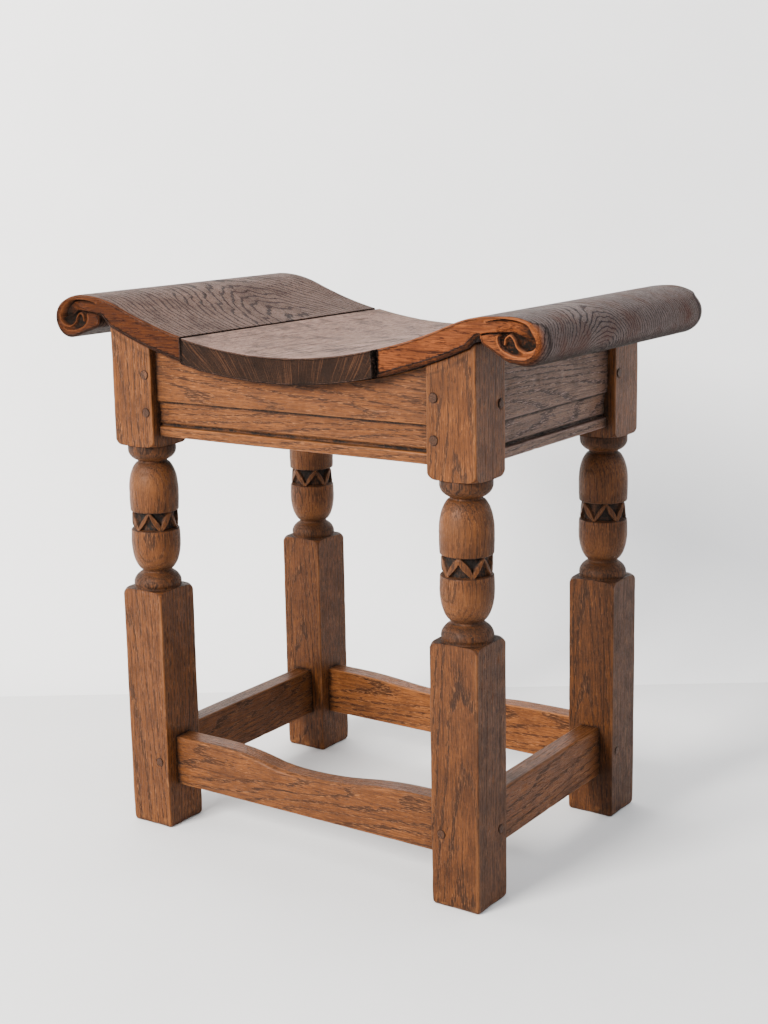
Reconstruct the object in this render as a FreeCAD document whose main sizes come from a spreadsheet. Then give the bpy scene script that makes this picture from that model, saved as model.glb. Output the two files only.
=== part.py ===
"""Joined oak bench with a dished three-board seat that rolls over into scrolls.

Frame: +X runs from scroll to scroll, +Y to the back, +Z up. The origin is on the
floor under the middle of the seat. All sizes are millimetres.
"""
import FreeCAD, Part
import Sketcher
import math
import os

Vector = FreeCAD.Vector
UP = Vector(0, 0, 1)

DIMENSIONS = [
    ("leg_width", 46.0, "side of the square legs"),
    ("half_length", 191.5, "centre to the legs' outer faces along X"),
    ("half_depth", 143.0, "centre to the legs' outer faces along Y"),
    ("lower_block_top", 227.0, "top of the square block below the turning"),
    ("upper_block_bottom", 361.0, "bottom of the square block above the turning"),
    ("blank_top", 480.0, "sawn height of the legs and aprons before the seat curve is cut"),
    ("bead_radius", 22.0, "half-round beads against both blocks"),
    ("neck_radius", 13.2, "narrow necks above and below the capsule"),
    ("capsule_radius", 22.8, "turned capsule at its fullest"),
    ("foot_chamfer", 1.5, "worn arris round each foot"),
    ("chip_depth", 2.6, "depth of the carved chips in the capsule's band"),
    ("chip_low", 282.5, "lower edge of the carved band"),
    ("chip_high", 298.5, "upper edge of the carved band"),
    ("ribbon_half", 2.2, "half width of the raised zigzag ribbon"),
    ("apron_inset", 7.7, "apron face behind the leg face"),
    ("apron_thick", 22.0, "apron thickness"),
    ("apron_bottom", 370.6, "underside of the aprons"),
    ("groove_height", 381.3, "deep groove of the apron moulding"),
    ("step_height", 403.4, "step below the apron's plain upper band"),
    ("apron_tenon", 22.0, "length of the apron tenons"),
    ("tenon_thick", 9.0, "thickness of every tenon"),
    ("apron_tenon_low", 379.0, "lower cheek of the apron tenons"),
    ("apron_tenon_high", 438.0, "upper cheek of the apron tenons"),
    ("rail_inset", 13.0, "stretcher face behind the leg face"),
    ("rail_thick", 20.0, "stretcher thickness"),
    ("rail_bottom", 39.5, "underside of the stretchers"),
    ("rail_top", 86.5, "top of the stretchers at their ends"),
    ("rail_tenon", 18.0, "length of the stretcher tenons"),
    ("rail_tenon_low", 46.0, "lower cheek of the stretcher tenons"),
    ("rail_tenon_high", 80.0, "upper cheek of the stretcher tenons"),
    ("front_wear", 9.5, "depth of the foot-worn dip in the front stretcher"),
    ("back_wear", 6.0, "depth of the foot-worn dip in the back stretcher"),
    ("apron_peg_radius", 4.0, "draw pegs of the apron joints"),
    ("apron_peg_inset", 39.0, "apron pegs from the leg's outer face"),
    ("apron_peg_high", 427.0, "upper apron peg"),
    ("apron_peg_low", 393.0, "lower apron peg"),
    ("side_peg_height", 420.0, "single peg of the short aprons' joints"),
    ("rail_peg_radius", 3.75, "draw pegs of the stretcher joints"),
    ("rail_peg_inset", 36.0, "stretcher pegs from the leg's outer face"),
    ("rail_peg_height", 63.0, "stretcher peg"),
    ("peg_length", 30.0, "length of a draw peg inside the leg"),
    ("peg_proud", 0.8, "how far a draw peg stands out of the leg"),
    ("seat_peg_radius", 4.5, "pegs that hold the seat boards down"),
    ("seat_peg_depth", 26.0, "seat peg below the seat's underside"),
    ("seat_peg_line", 129.0, "distance along Y of the seat pegs"),
    ("end_peg_place", 136.0, "distance along X of the pegs in the scroll boards"),
    ("centre_peg_place", 85.0, "distance along X of the pegs in the centre board"),
    ("board_half_depth", 148.6, "half the depth of the scroll boards"),
    ("centre_half_depth", 151.8, "half the depth of the centre board"),
    ("seam_place", 102.0, "distance along X of the seams between the boards"),
    ("seam_gap", 1.6, "open width of each seam"),
    ("seat_middle", 451.7, "top of the seat at its lowest point"),
    ("board_thick", 22.5, "thickness of the boards"),
    ("dish_radius", 449.0, "radius of the seat's hollow"),
    ("under_rise", 187.0, "distance along X where the underside leaves the dish"),
    ("crest_place", 221.0, "distance along X of the scroll's crest"),
    ("crest_height", 496.5, "height of the scroll's crest"),
    ("shoulder_radius", 47.0, "first arc past the crest"),
    ("shoulder_turn", 32.0, "degrees turned by the first arc"),
    ("roll_radius", 17.5, "tight arc round the outside of the scroll"),
    ("hook_face", 199.2, "distance along X of the scroll's end face under the seat"),
    ("slit_low", 479.6, "top of the hook, below the slit"),
    ("slit_high", 481.6, "underside of the board above the slit"),
    ("slit_end", 214.0, "distance along X of the slit's inner end"),
    ("relief_depth", 5.5, "depth of the carved hollow in the scroll's end"),
]

doc = FreeCAD.newDocument("kneeling_bench")
sheet = doc.addObject("Spreadsheet::Sheet", "dims")
for row, (alias, value, note) in enumerate(DIMENSIONS, start=1):
    sheet.set(f"A{row}", str(value))
    sheet.set(f"B{row}", note)
    sheet.setAlias(f"A{row}", alias)
scratch = doc.addObject("Spreadsheet::Sheet", "scratch")
doc.recompute()

size = {alias: float(sheet.get(alias)) for alias, _value, _note in DIMENSIONS}
sub_parts = []


# ---------------------------------------------------------------- helpers

def finish_node(item, name):
    """Give a finished sub-part its own name and put it on the list to write."""
    item.Label = name
    sub_parts.append(item)


def value_of(expression):
    """The number that an expression over the sheet gives now, worked out in a spare cell."""
    scratch.set("A1", "=" + expression)
    scratch.recompute()
    return float(scratch.get("A1"))


def origin_feature(body, role):
    return next(item for item in body.Origin.OriginFeatures if item.Role == role)


def sketch_on(body, role, name, lift="0", turn=0.0):
    """A sketch flat on one of the body's own origin planes, lifted along its normal."""
    sketch = body.newObject("Sketcher::SketchObject", name)
    sketch.AttachmentSupport = [(origin_feature(body, role), "")]
    sketch.MapMode = "FlatFace"
    angle = math.radians(turn)
    height = value_of(lift)
    place = Vector(height * math.sin(angle), 0, height * math.cos(angle))
    sketch.AttachmentOffset = FreeCAD.Placement(place, FreeCAD.Rotation(Vector(0, 1, 0), turn))
    if turn == 0.0 and lift != "0":
        sketch.setExpression(".AttachmentOffset.Base.z", lift)
    return sketch


def bind(sketch, constraint, expression):
    index = sketch.addConstraint(constraint)
    sketch.setExpression(f"Constraints[{index}]", expression)


def straight_outline(sketch, points):
    """Straight lines through the points and back to the first, joined at the corners."""
    count = len(points)
    for index, start in enumerate(points):
        sketch.addGeometry(Part.LineSegment(start, points[(index + 1) % count]))
    for index in range(count):
        sketch.addConstraint(Sketcher.Constraint("Coincident", index, 2, (index + 1) % count, 1))


def rectangle(sketch, low_x, low_y, wide, tall):
    """A rectangle whose corner and sides follow four expressions."""
    x_low, y_low, width, height = (value_of(text) for text in (low_x, low_y, wide, tall))
    corners = [
        Vector(x_low, y_low, 0),
        Vector(x_low + width, y_low, 0),
        Vector(x_low + width, y_low + height, 0),
        Vector(x_low, y_low + height, 0),
    ]
    straight_outline(sketch, corners)
    for side, kind in enumerate(("Horizontal", "Vertical", "Horizontal", "Vertical")):
        sketch.addConstraint(Sketcher.Constraint(kind, side))
    bind(sketch, Sketcher.Constraint("DistanceX", -1, 1, 0, 1, x_low), low_x)
    bind(sketch, Sketcher.Constraint("DistanceY", -1, 1, 0, 1, y_low), low_y)
    bind(sketch, Sketcher.Constraint("DistanceX", 0, 1, 0, 2, width), wide)
    bind(sketch, Sketcher.Constraint("DistanceY", 1, 1, 1, 2, height), tall)


def hole_circle(sketch, x_place, y_place, radius):
    """A circle whose centre and radius follow three expressions."""
    x, y, reach = value_of(x_place), value_of(y_place), value_of(radius)
    index = sketch.addGeometry(Part.Circle(Vector(x, y, 0), UP, reach))
    bind(sketch, Sketcher.Constraint("Radius", index, reach), radius)
    bind(sketch, Sketcher.Constraint("DistanceX", -1, 1, index, 3, x), x_place)
    bind(sketch, Sketcher.Constraint("DistanceY", -1, 1, index, 3, y), y_place)


def add_chain(sketch, edges):
    """A chain of lines and arcs, already end to end, held where it is drawn."""
    for edge in edges:
        index = sketch.addGeometry(edge)
        sketch.addConstraint(Sketcher.Constraint("Block", index))


def extrude(kind, body, sketch, name, length, symmetric=False, reverse=False):
    """A Pad or a Pocket of that sketch, whose length follows an expression."""
    feature = body.newObject("PartDesign::" + kind, name)
    feature.Profile = sketch
    feature.SideType = "Symmetric" if symmetric else "One side"
    feature.Reversed = reverse
    feature.setExpression("Length", length)
    return feature


def line(start, end):
    return Part.LineSegment(Vector(*start, 0), Vector(*end, 0))


def arc(start, middle, end):
    return Part.Arc(Vector(*start, 0), Vector(*middle, 0), Vector(*end, 0))


def polar(centre, radius, degrees):
    turn = math.radians(degrees)
    return centre[0] + radius * math.cos(turn), centre[1] + radius * math.sin(turn)


def centred_arc(centre, radius, first, last):
    """An arc about a centre, from the first angle to the last, in degrees."""
    angles = (first, (first + last) / 2, last)
    return arc(*(polar(centre, radius, angle) for angle in angles))


def mirrored(edges, flip, shift=0.0):
    """The same chain with X turned over when flip is -1, then moved along X."""
    moved = []
    for edge in edges:
        halfway = edge.value((edge.FirstParameter + edge.LastParameter) / 2)
        points = [(flip * point.x + shift, point.y) for point in (edge.StartPoint, halfway, edge.EndPoint)]
        if isinstance(edge, Part.LineSegment):
            moved.append(line(points[0], points[2]))
        else:
            moved.append(arc(*points))
    return moved


# ---------------------------------------------------------------- the seat's curve

DISH_CENTRE = size["seat_middle"] + size["dish_radius"]
TOP_RADIUS = size["dish_radius"]
UNDER_RADIUS = size["dish_radius"] + size["board_thick"]
CLEARANCE = 5.0             # how far a cut runs past the wood
OVERLAP = 1.0               # how far a cut starts or ends outside a leg's faces
MOUTH_BACK = 2.5            # mouth of the slit, short of the hook's face
MOUTH_DROP = 4.5            # mouth of the slit, below the slit's upper side


def dish_point(x, radius):
    """The point at X on the circle of that radius about the dish's centre."""
    return x, DISH_CENTRE - math.sqrt(radius * radius - x * x)


def dish_arc(first, last, radius):
    return arc(*(dish_point(x, radius) for x in (first, (first + last) / 2, last)))


def slit_mouth():
    return size["hook_face"] - MOUTH_BACK, size["slit_high"] - MOUTH_DROP


def climb_point(x):
    """The point at X on the straight climb from the dish up to the slit's mouth."""
    foot = dish_point(size["under_rise"], UNDER_RADIUS)
    mouth = slit_mouth()
    part = (x - foot[0]) / (mouth[0] - foot[0])
    return x, foot[1] + part * (mouth[1] - foot[1])


def cut_to_seat(body, name, low, high, flip=1, shift=0.0):
    """Take away everything over the seat's underside between two X, both on one side."""
    ceiling = size["blank_top"] + CLEARANCE
    rise = size["under_rise"]
    start = dish_point(low, UNDER_RADIUS)
    if high > rise:
        foot, end = dish_point(rise, UNDER_RADIUS), climb_point(high)
        chain = [dish_arc(low, rise, UNDER_RADIUS), line(foot, end)]
    else:
        end = dish_point(high, UNDER_RADIUS)
        chain = [dish_arc(low, high, UNDER_RADIUS)]
    chain += [
        line(end, (high, ceiling)),
        line((high, ceiling), (low, ceiling)),
        line((low, ceiling), start),
    ]
    sketch = sketch_on(body, "XZ_Plane", name + "_seat_curve")
    add_chain(sketch, mirrored(chain, flip, shift))
    extrude("Pocket", body, sketch, name + "_seat_cut", "dims.half_depth * 3", symmetric=True)


# ---------------------------------------------------------------- legs

LATHE_REACH = 44.0          # beyond the square's corners
SHOULDER_RISE = 9.0         # how far the lathe rounds the blocks' corners
SHOULDER_REACH = 34.0       # where that rounding leaves the square
SHOULDER_BULGE = 2.0        # how far the rounding swells past a straight cone
BEAD_HEIGHT = 14.5          # from a block's end to the neck
BEAD_STEP = 1.0             # the bead's foot inside its fullest radius
CUP_SIDE = 21.2             # radius half way up the full bead under the upper block
BALL_SIDE = 19.6            # the same on the slimmer bead over the lower block
NECK_WIDTH = 2.0            # flat bottom of the necks
CAPSULE_STRAIGHT = 16.0     # half the nearly straight middle of the capsule
CAPSULE_SHOULDER = (20.4, 9.5)
WAIST_DEPTH = 0.7           # how far the capsule's middle draws in at the carved band
CHIPS = 6                   # chips in each row of the carved band
ON_FLOOR = 0.01             # an edge no higher than this is one of the foot's


def half_turning(block, toward, bead_waist):
    """Outline of half a turning, from a block's corner to the capsule's middle."""
    flat = size["leg_width"] / 2
    neck = size["neck_radius"]
    full = size["capsule_radius"]
    bead = size["bead_radius"] - BEAD_STEP
    middle = (size["lower_block_top"] + size["upper_block_bottom"]) / 2
    corner = (SHOULDER_REACH, block - toward * SHOULDER_RISE)
    swell = ((SHOULDER_REACH + flat) / 2 + SHOULDER_BULGE,
             block - toward * (SHOULDER_RISE / 2 - SHOULDER_BULGE))
    bead_foot = (bead, block)
    bead_side = (bead_waist, block + toward * BEAD_HEIGHT / 2)
    neck_near = (neck, block + toward * BEAD_HEIGHT)
    neck_far = (neck, neck_near[1] + toward * NECK_WIDTH)
    cheek = (CAPSULE_SHOULDER[0], neck_far[1] + toward * CAPSULE_SHOULDER[1])
    side = (full, middle - toward * CAPSULE_STRAIGHT)
    return [
        line((LATHE_REACH, corner[1]), corner),
        arc(corner, swell, (flat, block)),
        line((flat, block), bead_foot),
        arc(bead_foot, bead_side, neck_near),
        line(neck_near, neck_far),
        arc(neck_far, cheek, side),
        line(side, (full - WAIST_DEPTH, middle)),
    ]


def turning_outline():
    """Closed chain outside the turned middle of a leg: X is the radius, Y the height."""
    low, high = size["lower_block_top"], size["upper_block_bottom"]
    ends = (low - SHOULDER_RISE, high + SHOULDER_RISE)
    close = line((LATHE_REACH, ends[0]), (LATHE_REACH, ends[1]))
    return half_turning(low, 1, BALL_SIDE) + half_turning(high, -1, CUP_SIDE) + [close]


def carve_band(body, name):
    """Chips pointing up between chips pointing down leave a raised zigzag ribbon."""
    inner = size["capsule_radius"] - size["chip_depth"]
    ribbon = size["ribbon_half"]
    half_step = 180.0 / CHIPS
    half = inner * math.tan(math.radians(half_step)) - ribbon
    low, high = size["chip_low"], size["chip_high"]
    rows = (("up", 0.0, low, high - ribbon), ("down", half_step, high, low + ribbon))
    for label, turn, base, tip in rows:
        sketch = sketch_on(body, "YZ_Plane", f"{name}_chip_{label}",
                           "dims.capsule_radius - dims.chip_depth", turn)
        straight_outline(sketch, [Vector(-half, base, 0), Vector(half, base, 0), Vector(0, tip, 0)])
        for side in range(3):
            sketch.addConstraint(Sketcher.Constraint("Block", side))
        chip = extrude("Pocket", body, sketch, f"{name}_cut_{label}", "dims.chip_depth * 3",
                       reverse=True)
        pattern = body.newObject("PartDesign::PolarPattern", f"{name}_ring_{label}")
        pattern.Originals = [chip]
        pattern.Axis = (origin_feature(body, "Z_Axis"), [""])
        pattern.Angle = 360
        pattern.Occurrences = CHIPS
        body.Tip = pattern
        doc.recompute()


def span_text(side, near, far):
    """Low end and length of a span from near to far on that side of the axis."""
    low = near if side > 0 else f"-({far})"
    return low, f"({far}) - ({near})"


def cut_mortises(body, name, side_x, side_y):
    """Four mortises in the two inner faces: an apron's and a stretcher's in each."""
    edge = "dims.leg_width / 2"
    joints = [
        ("apron", "dims.apron_inset + dims.apron_thick / 2",
         "dims.apron_tenon", "dims.apron_tenon_low", "dims.apron_tenon_high"),
        ("rail", "dims.rail_inset + dims.rail_thick / 2",
         "dims.rail_tenon", "dims.rail_tenon_low", "dims.rail_tenon_high"),
    ]
    for kind, inset, length, low, high in joints:
        for axis, side, across in (("x", side_x, side_y), ("y", side_y, side_x)):
            plan = sketch_on(body, "XY_Plane", f"{name}_{kind}_{axis}_plan", low)
            start, span = span_text(-side, f"{edge} - {length}", f"{edge} + {OVERLAP}")
            cheek = f"{across} * ({edge} - ({inset})) - dims.tenon_thick / 2"
            if axis == "x":
                rectangle(plan, start, cheek, span, "dims.tenon_thick")
            else:
                rectangle(plan, cheek, start, "dims.tenon_thick", span)
            extrude("Pocket", body, plan, f"{name}_{kind}_{axis}_mortise", f"{high} - {low}",
                    reverse=True)


PEG_ROWS = {
    "apron_peg_high": ("dims.apron_peg_inset", "dims.apron_peg_high", "dims.apron_peg_radius"),
    "apron_peg_low": ("dims.apron_peg_inset", "dims.apron_peg_low", "dims.apron_peg_radius"),
    "apron_peg": ("dims.apron_peg_inset", "dims.side_peg_height", "dims.apron_peg_radius"),
    "stretcher_peg": ("dims.rail_peg_inset", "dims.rail_peg_height", "dims.rail_peg_radius"),
}
LONG_SIDE_PEGS = ("apron_peg_high", "apron_peg_low")
SHORT_SIDE_PEGS = ("apron_peg",)
PEGS_DRIVEN_ALONG = {
    "x": SHORT_SIDE_PEGS + ("stretcher_peg",),
    "y": LONG_SIDE_PEGS + ("stretcher_peg",),
}


def drill_leg(body, name, side_x, side_y):
    """Round holes for the draw pegs, from the leg's two outer faces."""
    for axis, role, side, across in (("x", "YZ_Plane", side_x, side_y),
                                     ("y", "XZ_Plane", -side_y, side_x)):
        for kind in PEGS_DRIVEN_ALONG[axis]:
            inset, height, radius = PEG_ROWS[kind]
            hole = sketch_on(body, role, f"{name}_{kind}_{axis}_hole",
                             f"{side} * dims.leg_width / 2")
            place = f"{across} * (dims.leg_width / 2 - {inset})"
            hole_circle(hole, place, height, radius)
            extrude("Pocket", body, hole, f"{name}_{kind}_{axis}_drill", "dims.peg_length",
                    reverse=side < 0)


def make_leg(name, side_x, side_y):
    """One leg about its own axis: square blocks, turned middle, mortises, peg holes."""
    body = doc.addObject("PartDesign::Body", name + "_body")
    blank = sketch_on(body, "XY_Plane", name + "_square")
    rectangle(blank, "-dims.leg_width / 2", "-dims.leg_width / 2", "dims.leg_width", "dims.leg_width")
    stock = extrude("Pad", body, blank, name + "_stock", "dims.blank_top")
    doc.recompute()

    foot = body.newObject("PartDesign::Chamfer", name + "_foot")
    low_edges = [f"Edge{index}" for index, edge in enumerate(stock.Shape.Edges, start=1)
                 if edge.BoundBox.ZMax < ON_FLOOR]
    foot.Base = (stock, low_edges)
    foot.setExpression("Size", "dims.foot_chamfer")

    lathe = sketch_on(body, "XZ_Plane", name + "_lathe")
    add_chain(lathe, turning_outline())
    groove = body.newObject("PartDesign::Groove", name + "_turning")
    groove.Profile = lathe
    groove.ReferenceAxis = (lathe, ["V_Axis"])
    groove.Angle = 360
    body.Tip = groove
    doc.recompute()
    carve_band(body, name)

    inner = size["half_length"] - size["leg_width"] - OVERLAP
    outer = size["half_length"] + OVERLAP
    centre = size["half_length"] - size["leg_width"] / 2
    cut_to_seat(body, name, inner, outer, side_x, -side_x * centre)
    cut_mortises(body, name, side_x, side_y)
    drill_leg(body, name, side_x, side_y)
    body.setExpression(".Placement.Base.x", f"{side_x} * (dims.half_length - dims.leg_width / 2)")
    body.setExpression(".Placement.Base.y", f"{side_y} * (dims.half_depth - dims.leg_width / 2)")
    finish_node(body, name)


# ---------------------------------------------------------------- rails

SCOOP_DEPTH = 3.2           # depth of the scooped band under the step
SCOOP_STEP = 1.9            # depth of the step over the scoop
STEP_SLOPE = 0.6            # fall of the step's underside
SCOOP_LIFT = 2.0            # deepest part of the scoop, above its middle
SCOOP_RUNOUT = 0.8          # how much shallower the scoop is at its lower end
SCOOP_END = 5.4             # lower end of the scoop above the groove
GROOVE_DEPTH = 4.6          # depth of the deep groove
LISTEL_INSET = 1.2          # the bottom band behind the apron's face, and its slope


def apron_section():
    """Moulded section of an apron: X runs inward from the outer face, Y is the height."""
    thick, top = size["apron_thick"], size["blank_top"]
    low, groove, step = size["apron_bottom"], size["groove_height"], size["step_height"]
    scoop_top = (SCOOP_STEP, step - STEP_SLOPE)
    scoop_middle = (SCOOP_DEPTH, (step + groove) / 2 + SCOOP_LIFT)
    scoop_low = (SCOOP_DEPTH - SCOOP_RUNOUT, groove + SCOOP_END)
    listel_top = (LISTEL_INSET, groove - LISTEL_INSET)
    return [
        line((thick, low), (thick, top)),
        line((thick, top), (0, top)),
        line((0, top), (0, step)),
        line((0, step), scoop_top),
        arc(scoop_top, scoop_middle, scoop_low),
        line(scoop_low, (GROOVE_DEPTH, groove)),
        line((GROOVE_DEPTH, groove), listel_top),
        line(listel_top, (LISTEL_INSET, low)),
        line((LISTEL_INSET, low), (thick, low)),
    ]


def rail_frame(along_x, side):
    """Section plane, face plane, its outward sign, and the reach and span of a rail."""
    if along_x:
        return "YZ_Plane", "XZ_Plane", -side, "dims.half_depth", "dims.half_length"
    return "XZ_Plane", "YZ_Plane", side, "dims.half_length", "dims.half_depth"


def drill_rail(body, name, along_x, side, kinds):
    """Peg holes through both tenons of a rail, from its outer side."""
    _section, face_plane, outward, reach, span = rail_frame(along_x, side)
    sketch = sketch_on(body, face_plane, name + "_peg_holes", f"{outward} * {reach}")
    for end in (-1, 1):
        for kind in kinds:
            inset, height, radius = PEG_ROWS[kind]
            hole_circle(sketch, f"{end} * ({span} - {inset})", height, radius)
    extrude("Pocket", body, sketch, name + "_peg_drill", "dims.peg_length", reverse=outward < 0)


SEAT_PEG_PLACES = ("-dims.end_peg_place", "-dims.centre_peg_place",
                   "dims.centre_peg_place", "dims.end_peg_place")


def seat_peg_bottom(place):
    return dish_point(value_of(place), UNDER_RADIUS)[1] - size["seat_peg_depth"]


def drill_seat_holes(body, name):
    """Blind holes for the seat pegs, in the top of the back apron."""
    for number, place in enumerate(SEAT_PEG_PLACES, start=1):
        sketch = sketch_on(body, "XY_Plane", f"{name}_seat_hole_{number}",
                           str(seat_peg_bottom(place)))
        hole_circle(sketch, place, "dims.seat_peg_line", "dims.seat_peg_radius")
        extrude("Pocket", body, sketch, f"{name}_seat_drill_{number}", "dims.seat_peg_depth * 3",
                reverse=True)


def make_apron(name, along_x, side):
    """A seat rail with its two tenons, its top cut to the seat's underside."""
    body = doc.addObject("PartDesign::Body", name + "_body")
    section_plane, _face, _outward, reach, span = rail_frame(along_x, side)
    face = value_of(reach) - size["apron_inset"]
    section = sketch_on(body, section_plane, name + "_section")
    add_chain(section, mirrored(apron_section(), -side, side * face))
    extrude("Pad", body, section, name + "_rail", f"2 * ({span} - dims.leg_width)", symmetric=True)
    middle = f"{side} * ({reach} - dims.apron_inset - dims.apron_thick / 2)"
    tenon = sketch_on(body, section_plane, name + "_tenon_section")
    rectangle(tenon, f"{middle} - dims.tenon_thick / 2", "dims.apron_tenon_low",
              "dims.tenon_thick", "dims.apron_tenon_high - dims.apron_tenon_low")
    extrude("Pad", body, tenon, name + "_tenons",
            f"2 * ({span} - dims.leg_width + dims.apron_tenon)", symmetric=True)
    doc.recompute()
    if along_x:
        cut_to_seat(body, name, -size["under_rise"], size["under_rise"])
        if side > 0:
            drill_seat_holes(body, name)
    else:
        cut_to_seat(body, name, size["half_length"] - size["leg_width"], size["under_rise"], side)
    drill_rail(body, name, along_x, side, LONG_SIDE_PEGS if along_x else SHORT_SIDE_PEGS)
    finish_node(body, name)


WEAR_SHAPE = [
    # Share of the half length, share of the wear: from the right end to the left.
    (0.80, 0.00), (0.58, 0.22), (0.34, 0.78), (0.04, 1.00),
    (-0.20, 0.86), (-0.46, 0.36), (-0.70, 0.00),
]


def worn_top(half, wear):
    """Top edge of a stretcher, from its right end to its left end."""
    top = size["rail_top"]
    if wear == 0:
        return [line((half, top), (-half, top))]
    points = [(share * half, top - loss * wear) for share, loss in WEAR_SHAPE]
    chain = [line((half, top), points[0])]
    for first in range(0, len(points) - 1, 2):
        chain.append(arc(*points[first:first + 3]))
    chain.append(line(points[-1], (-half, top)))
    return chain


def make_stretcher(name, along_x, side, wear):
    """A foot rail with its two tenons; the long ones are worn down by feet."""
    body = doc.addObject("PartDesign::Body", name + "_body")
    section_plane, face_plane, outward, reach, span = rail_frame(along_x, side)
    half, low, top = value_of(span) - size["leg_width"], size["rail_bottom"], size["rail_top"]
    back = f"{outward} * ({reach} - dims.rail_inset - dims.rail_thick)"
    side_view = sketch_on(body, face_plane, name + "_side_view", back)
    chain = [line((-half, low), (half, low)), line((half, low), (half, top))]
    chain += worn_top(half, wear)
    chain.append(line((-half, top), (-half, low)))
    add_chain(side_view, chain)
    extrude("Pad", body, side_view, name + "_rail", "dims.rail_thick", reverse=outward < 0)

    normal = 1 if along_x else -1
    cheek = f"{side} * ({reach} - dims.rail_inset - dims.rail_thick / 2) - dims.tenon_thick / 2"
    for label, end in (("low", -1), ("high", 1)):
        facing = end * normal
        tenon = sketch_on(body, section_plane, f"{name}_tenon_{label}",
                          f"{facing} * ({span} - dims.leg_width)")
        rectangle(tenon, cheek, "dims.rail_tenon_low", "dims.tenon_thick",
                  "dims.rail_tenon_high - dims.rail_tenon_low")
        extrude("Pad", body, tenon, f"{name}_tongue_{label}", "dims.rail_tenon",
                reverse=facing < 0)
    drill_rail(body, name, along_x, side, ("stretcher_peg",))
    finish_node(body, name)


# ---------------------------------------------------------------- seat boards

ROLL_FALL = 23.0            # degrees that the roll's underside climbs towards the hook
HOOK_NOSE = 4.0             # width of the rounding at the bottom of the hook
NOSE_RISE = 3.6             # height of the same
NOSE_SWELL = (0.9, 1.4)     # its middle, in from the hook's face and up from its foot
HOOK_TIP = 1.5              # rounding at the top of the hook
TIP_SWELL = 0.45            # how near that rounding passes to its corner
MOUTH_LENGTH = 5.0          # rounding of the seat's edge at the slit's mouth
MOUTH_SWELL = (0.4, 1.4)    # its middle, in from the hook's face and down from the slit
RELIEF = [
    # The carved hollow: corners (at X and height) and, between them, a point on each arc.
    (219.5, 475.5), (222.5, 484.0), (231.0, 486.5), (242.0, 484.0),
    (246.5, 476.0), (242.5, 470.0), (233.0, 470.0), (228.0, 478.0),
]


def scroll_outline():
    """Outline of the right scroll board, seen from the front, as a closed chain."""
    seam = size["seam_place"] + size["seam_gap"] / 2
    crest_x, crest_z = size["crest_place"], size["crest_height"]

    # The hollow of the seat turns into the crest where both arcs share a tangent.
    turn = 2 * math.atan2(crest_z - size["seat_middle"], crest_x)
    crest_radius = crest_x / math.sin(turn) - TOP_RADIUS
    join = TOP_RADIUS * math.sin(turn)

    shoulder, roll = size["shoulder_radius"], size["roll_radius"]
    fall = 90 - size["shoulder_turn"]
    shoulder_centre = (crest_x, crest_z - shoulder)
    roll_centre = polar(shoulder_centre, shoulder - roll, fall)
    roll_last = -90 - ROLL_FALL
    roll_end = polar(roll_centre, roll, roll_last)

    # Under the roll a straight tangent runs back to the rounded end of the hook.
    hook = size["hook_face"]
    nose_x = hook + HOOK_NOSE
    nose_z = roll_end[1] + math.tan(math.radians(ROLL_FALL)) * (roll_end[0] - nose_x)
    face_z = nose_z + NOSE_RISE
    slit_low, slit_high, slit_end = size["slit_low"], size["slit_high"], size["slit_end"]
    mouth = slit_mouth()
    mouth_end = (hook + MOUTH_LENGTH, slit_high)
    return [
        dish_arc(seam, join, TOP_RADIUS),
        centred_arc((crest_x, crest_z - crest_radius), crest_radius, 90 + math.degrees(turn), 90),
        centred_arc(shoulder_centre, shoulder, 90, fall),
        centred_arc(roll_centre, roll, fall, roll_last),
        line(roll_end, (nose_x, nose_z)),
        arc((nose_x, nose_z), (hook + NOSE_SWELL[0], nose_z + NOSE_SWELL[1]), (hook, face_z)),
        line((hook, face_z), (hook, slit_low - HOOK_TIP)),
        arc((hook, slit_low - HOOK_TIP),
            (hook + TIP_SWELL, slit_low - TIP_SWELL),
            (hook + HOOK_TIP, slit_low)),
        line((hook + HOOK_TIP, slit_low), (slit_end, slit_low)),
        line((slit_end, slit_low), (slit_end, slit_high)),
        line((slit_end, slit_high), mouth_end),
        arc(mouth_end, (hook + MOUTH_SWELL[0], slit_high - MOUTH_SWELL[1]), mouth),
        line(mouth, dish_point(size["under_rise"], UNDER_RADIUS)),
        dish_arc(size["under_rise"], seam, UNDER_RADIUS),
        line(dish_point(seam, UNDER_RADIUS), dish_point(seam, TOP_RADIUS)),
    ]


def relief_outline():
    """The hollow carved between the rolled rim and the edge of the seat."""
    chain = []
    for first in range(0, len(RELIEF), 2):
        start, middle, end = (RELIEF[(first + step) % len(RELIEF)] for step in range(3))
        chain.append(arc(start, middle, end))
    return chain


def drill_board(body, name, places):
    """Holes right through a seat board for its pegs."""
    sketch = sketch_on(body, "XY_Plane", name + "_peg_holes", "dims.apron_bottom")
    for place in places:
        hole_circle(sketch, place, "dims.seat_peg_line", "dims.seat_peg_radius")
    extrude("Pocket", body, sketch, name + "_peg_drill", "dims.blank_top", reverse=True)


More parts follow.
